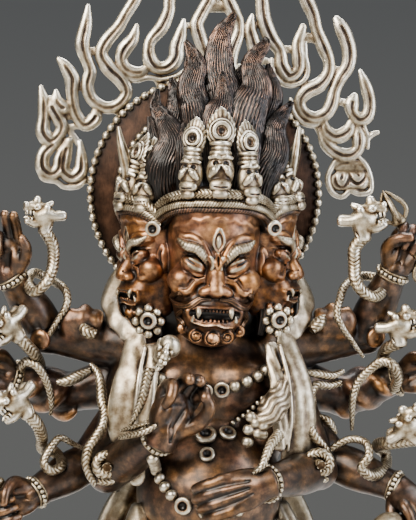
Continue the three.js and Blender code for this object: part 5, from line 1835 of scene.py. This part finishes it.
def make_held():
    vajra = grip_place("left_raised", 0.6)
    half = [(2.5, 1.6), (1.7, 2.6), (1.7, 7.2), (2.9, 8.2), (2.6, 9), (1.3, 12), (1.3, 17), (0.7, 20),
        (0, 21.6)]
    turned_silver("vajra_shaft", vajra, [(r, -z) for r, z in half[::-1]] + [(2.7, 0)] + half)
    prong = [(1.8, 8.4), (4.2, 11), (4.3, 14), (2.2, 18), (0.5, 20.6)]
    prongs = []
    for end in (1, -1):
        for i in range(4):
            a = i * math.pi / 2
            line = [[math.cos(a) * r, math.sin(a) * r, end * z] for r, z in prong]
            prongs.append((put_at(vajra, line), [0.7, 0.9, 0.9, 0.8, 0.4]))
    strand("vajra_prongs", prongs, silver, sides=12, step=0.6)
    mace = grip_place("left_low")
    turned_silver("mace", mace, [
        (0, -19.8), (1.6, -19.2), (2.6, -17.4), (2.6, -14.4), (3.2, -13.4), (3.4, -12.2), (3.3, -10.8),
        (1.9, -9.8), (1.7, 6.6), (2.4, 7.4), (3.2, 8.4), (4.2, 11.4), (4.2, 14), (3, 17.4), (1.1, 20.4),
        (0, 21.2),
    ])
    noose = grip_place("right_low")
    turned_silver("noose_grip", noose, [
        (0, -10.2), (1.6, -9.8), (2.1, -8.8), (1.7, -7.4), (1.7, 6.8), (2.5, 8.2), (2.2, 9.8), (0, 10.8),
    ])
    turn = np.linspace(math.pi / 2, 2.5 * math.pi, 41)
    loop = put_at(noose, [[math.cos(a) * 8.5, 0, -17.5 + math.sin(a) * 8.5] for a in turn])
    strand("noose_loop", [(loop, 1.5)], silver, pitch=1.6, strands=3, depth=0.35, sides=20, step=0.4)


make_held()


# STAGE

# The lights point at the middle of the figure's chest.
LIT_SPOT = (0, 0, 0.24)


def area_light(name, at, size, power, colour):
    """A soft box in metres and watts, aimed at the figure."""
    lamp = bpy.data.lights.new(name, "AREA")
    lamp.shape = "RECTANGLE"
    lamp.size, lamp.size_y = size
    lamp.energy = power
    lamp.color = linear(colour)[:3]
    light = bpy.data.objects.new(name, lamp)
    light.location = at
    back = unit(np.array(at) - np.array(LIT_SPOT))
    light.rotation_euler = (math.acos(back[2]), 0, math.atan2(back[0], -back[1]))
    bpy.context.scene.collection.objects.link(light)


FLOOR_SIDES = 96
BACKDROP_STRENGTH = 0.17


def set_floor():
    """A round pale floor, a metre in radius."""
    floor_material, tree = new_material("pale matt studio floor")
    shader = put(tree, "ShaderNodeBsdfPrincipled", {"Base Color": linear("#c9c7c3"), "Roughness": 0.9})
    put(tree, "ShaderNodeOutputMaterial", {"Surface": shader.outputs["BSDF"]})
    mesh = bpy.data.meshes.new("floor")
    rim = [(math.cos(a), math.sin(a), 0) for a in np.linspace(0, FULL_TURN, FLOOR_SIDES + 1)[:-1]]
    mesh.from_pydata(rim, [], [range(FLOOR_SIDES)])
    mesh.materials.append(floor_material)
    floor = bpy.data.objects.new("floor", mesh)
    bpy.context.scene.collection.objects.link(floor)


def set_backdrop():
    """A pale studio wall, a shade darker above the horizon."""
    world = bpy.data.worlds.new("studio")
    bpy.context.scene.world = world
    world.use_nodes = True
    tree = world.node_tree
    background = tree.nodes["Background"]
    rise = put(
        tree, "ShaderNodeSeparateXYZ", {"Vector": put(tree, "ShaderNodeTexCoord").outputs["Generated"]}
    ).outputs["Z"]
    height = remap(tree, rise, low=-0.06, high=0.03)
    backdrop = ramp(tree, height, {0.0: "#dfe0dd", 1.0: "#c2c5c6"})
    tree.links.new(backdrop, background.inputs["Color"])
    background.inputs["Strength"].default_value = BACKDROP_STRENGTH


set_floor()
set_backdrop()
area_light("key", (-0.5, -0.7, 0.8), (0.75, 0.75), 31, "#fff6ea")
area_light("fill", (0.75, -0.45, 0.45), (0.5, 1.0), 13, "#f4f7ff")
area_light("top", (0.1, 0.3, 0.95), (0.8, 0.4), 14, "#ffffff")

# The CAD nodes other than the figure, by how their pieces' names start.
NODE_STARTS = {
    "lotus_base": "base_",
    "flame_halo": ("flames", "halo_"),
    "held_vajra": "vajra",
    "held_mace": "mace",
    "held_noose": "noose",
}


def cad_node(name):
    """The CAD node that a piece of this name stands for."""
    for node, starts in NODE_STARTS.items():
        if name.startswith(starts):
            return node
    return "figure"


for made in PIECES:
    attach(made, BODY)
    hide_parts(cad_node(made.name))
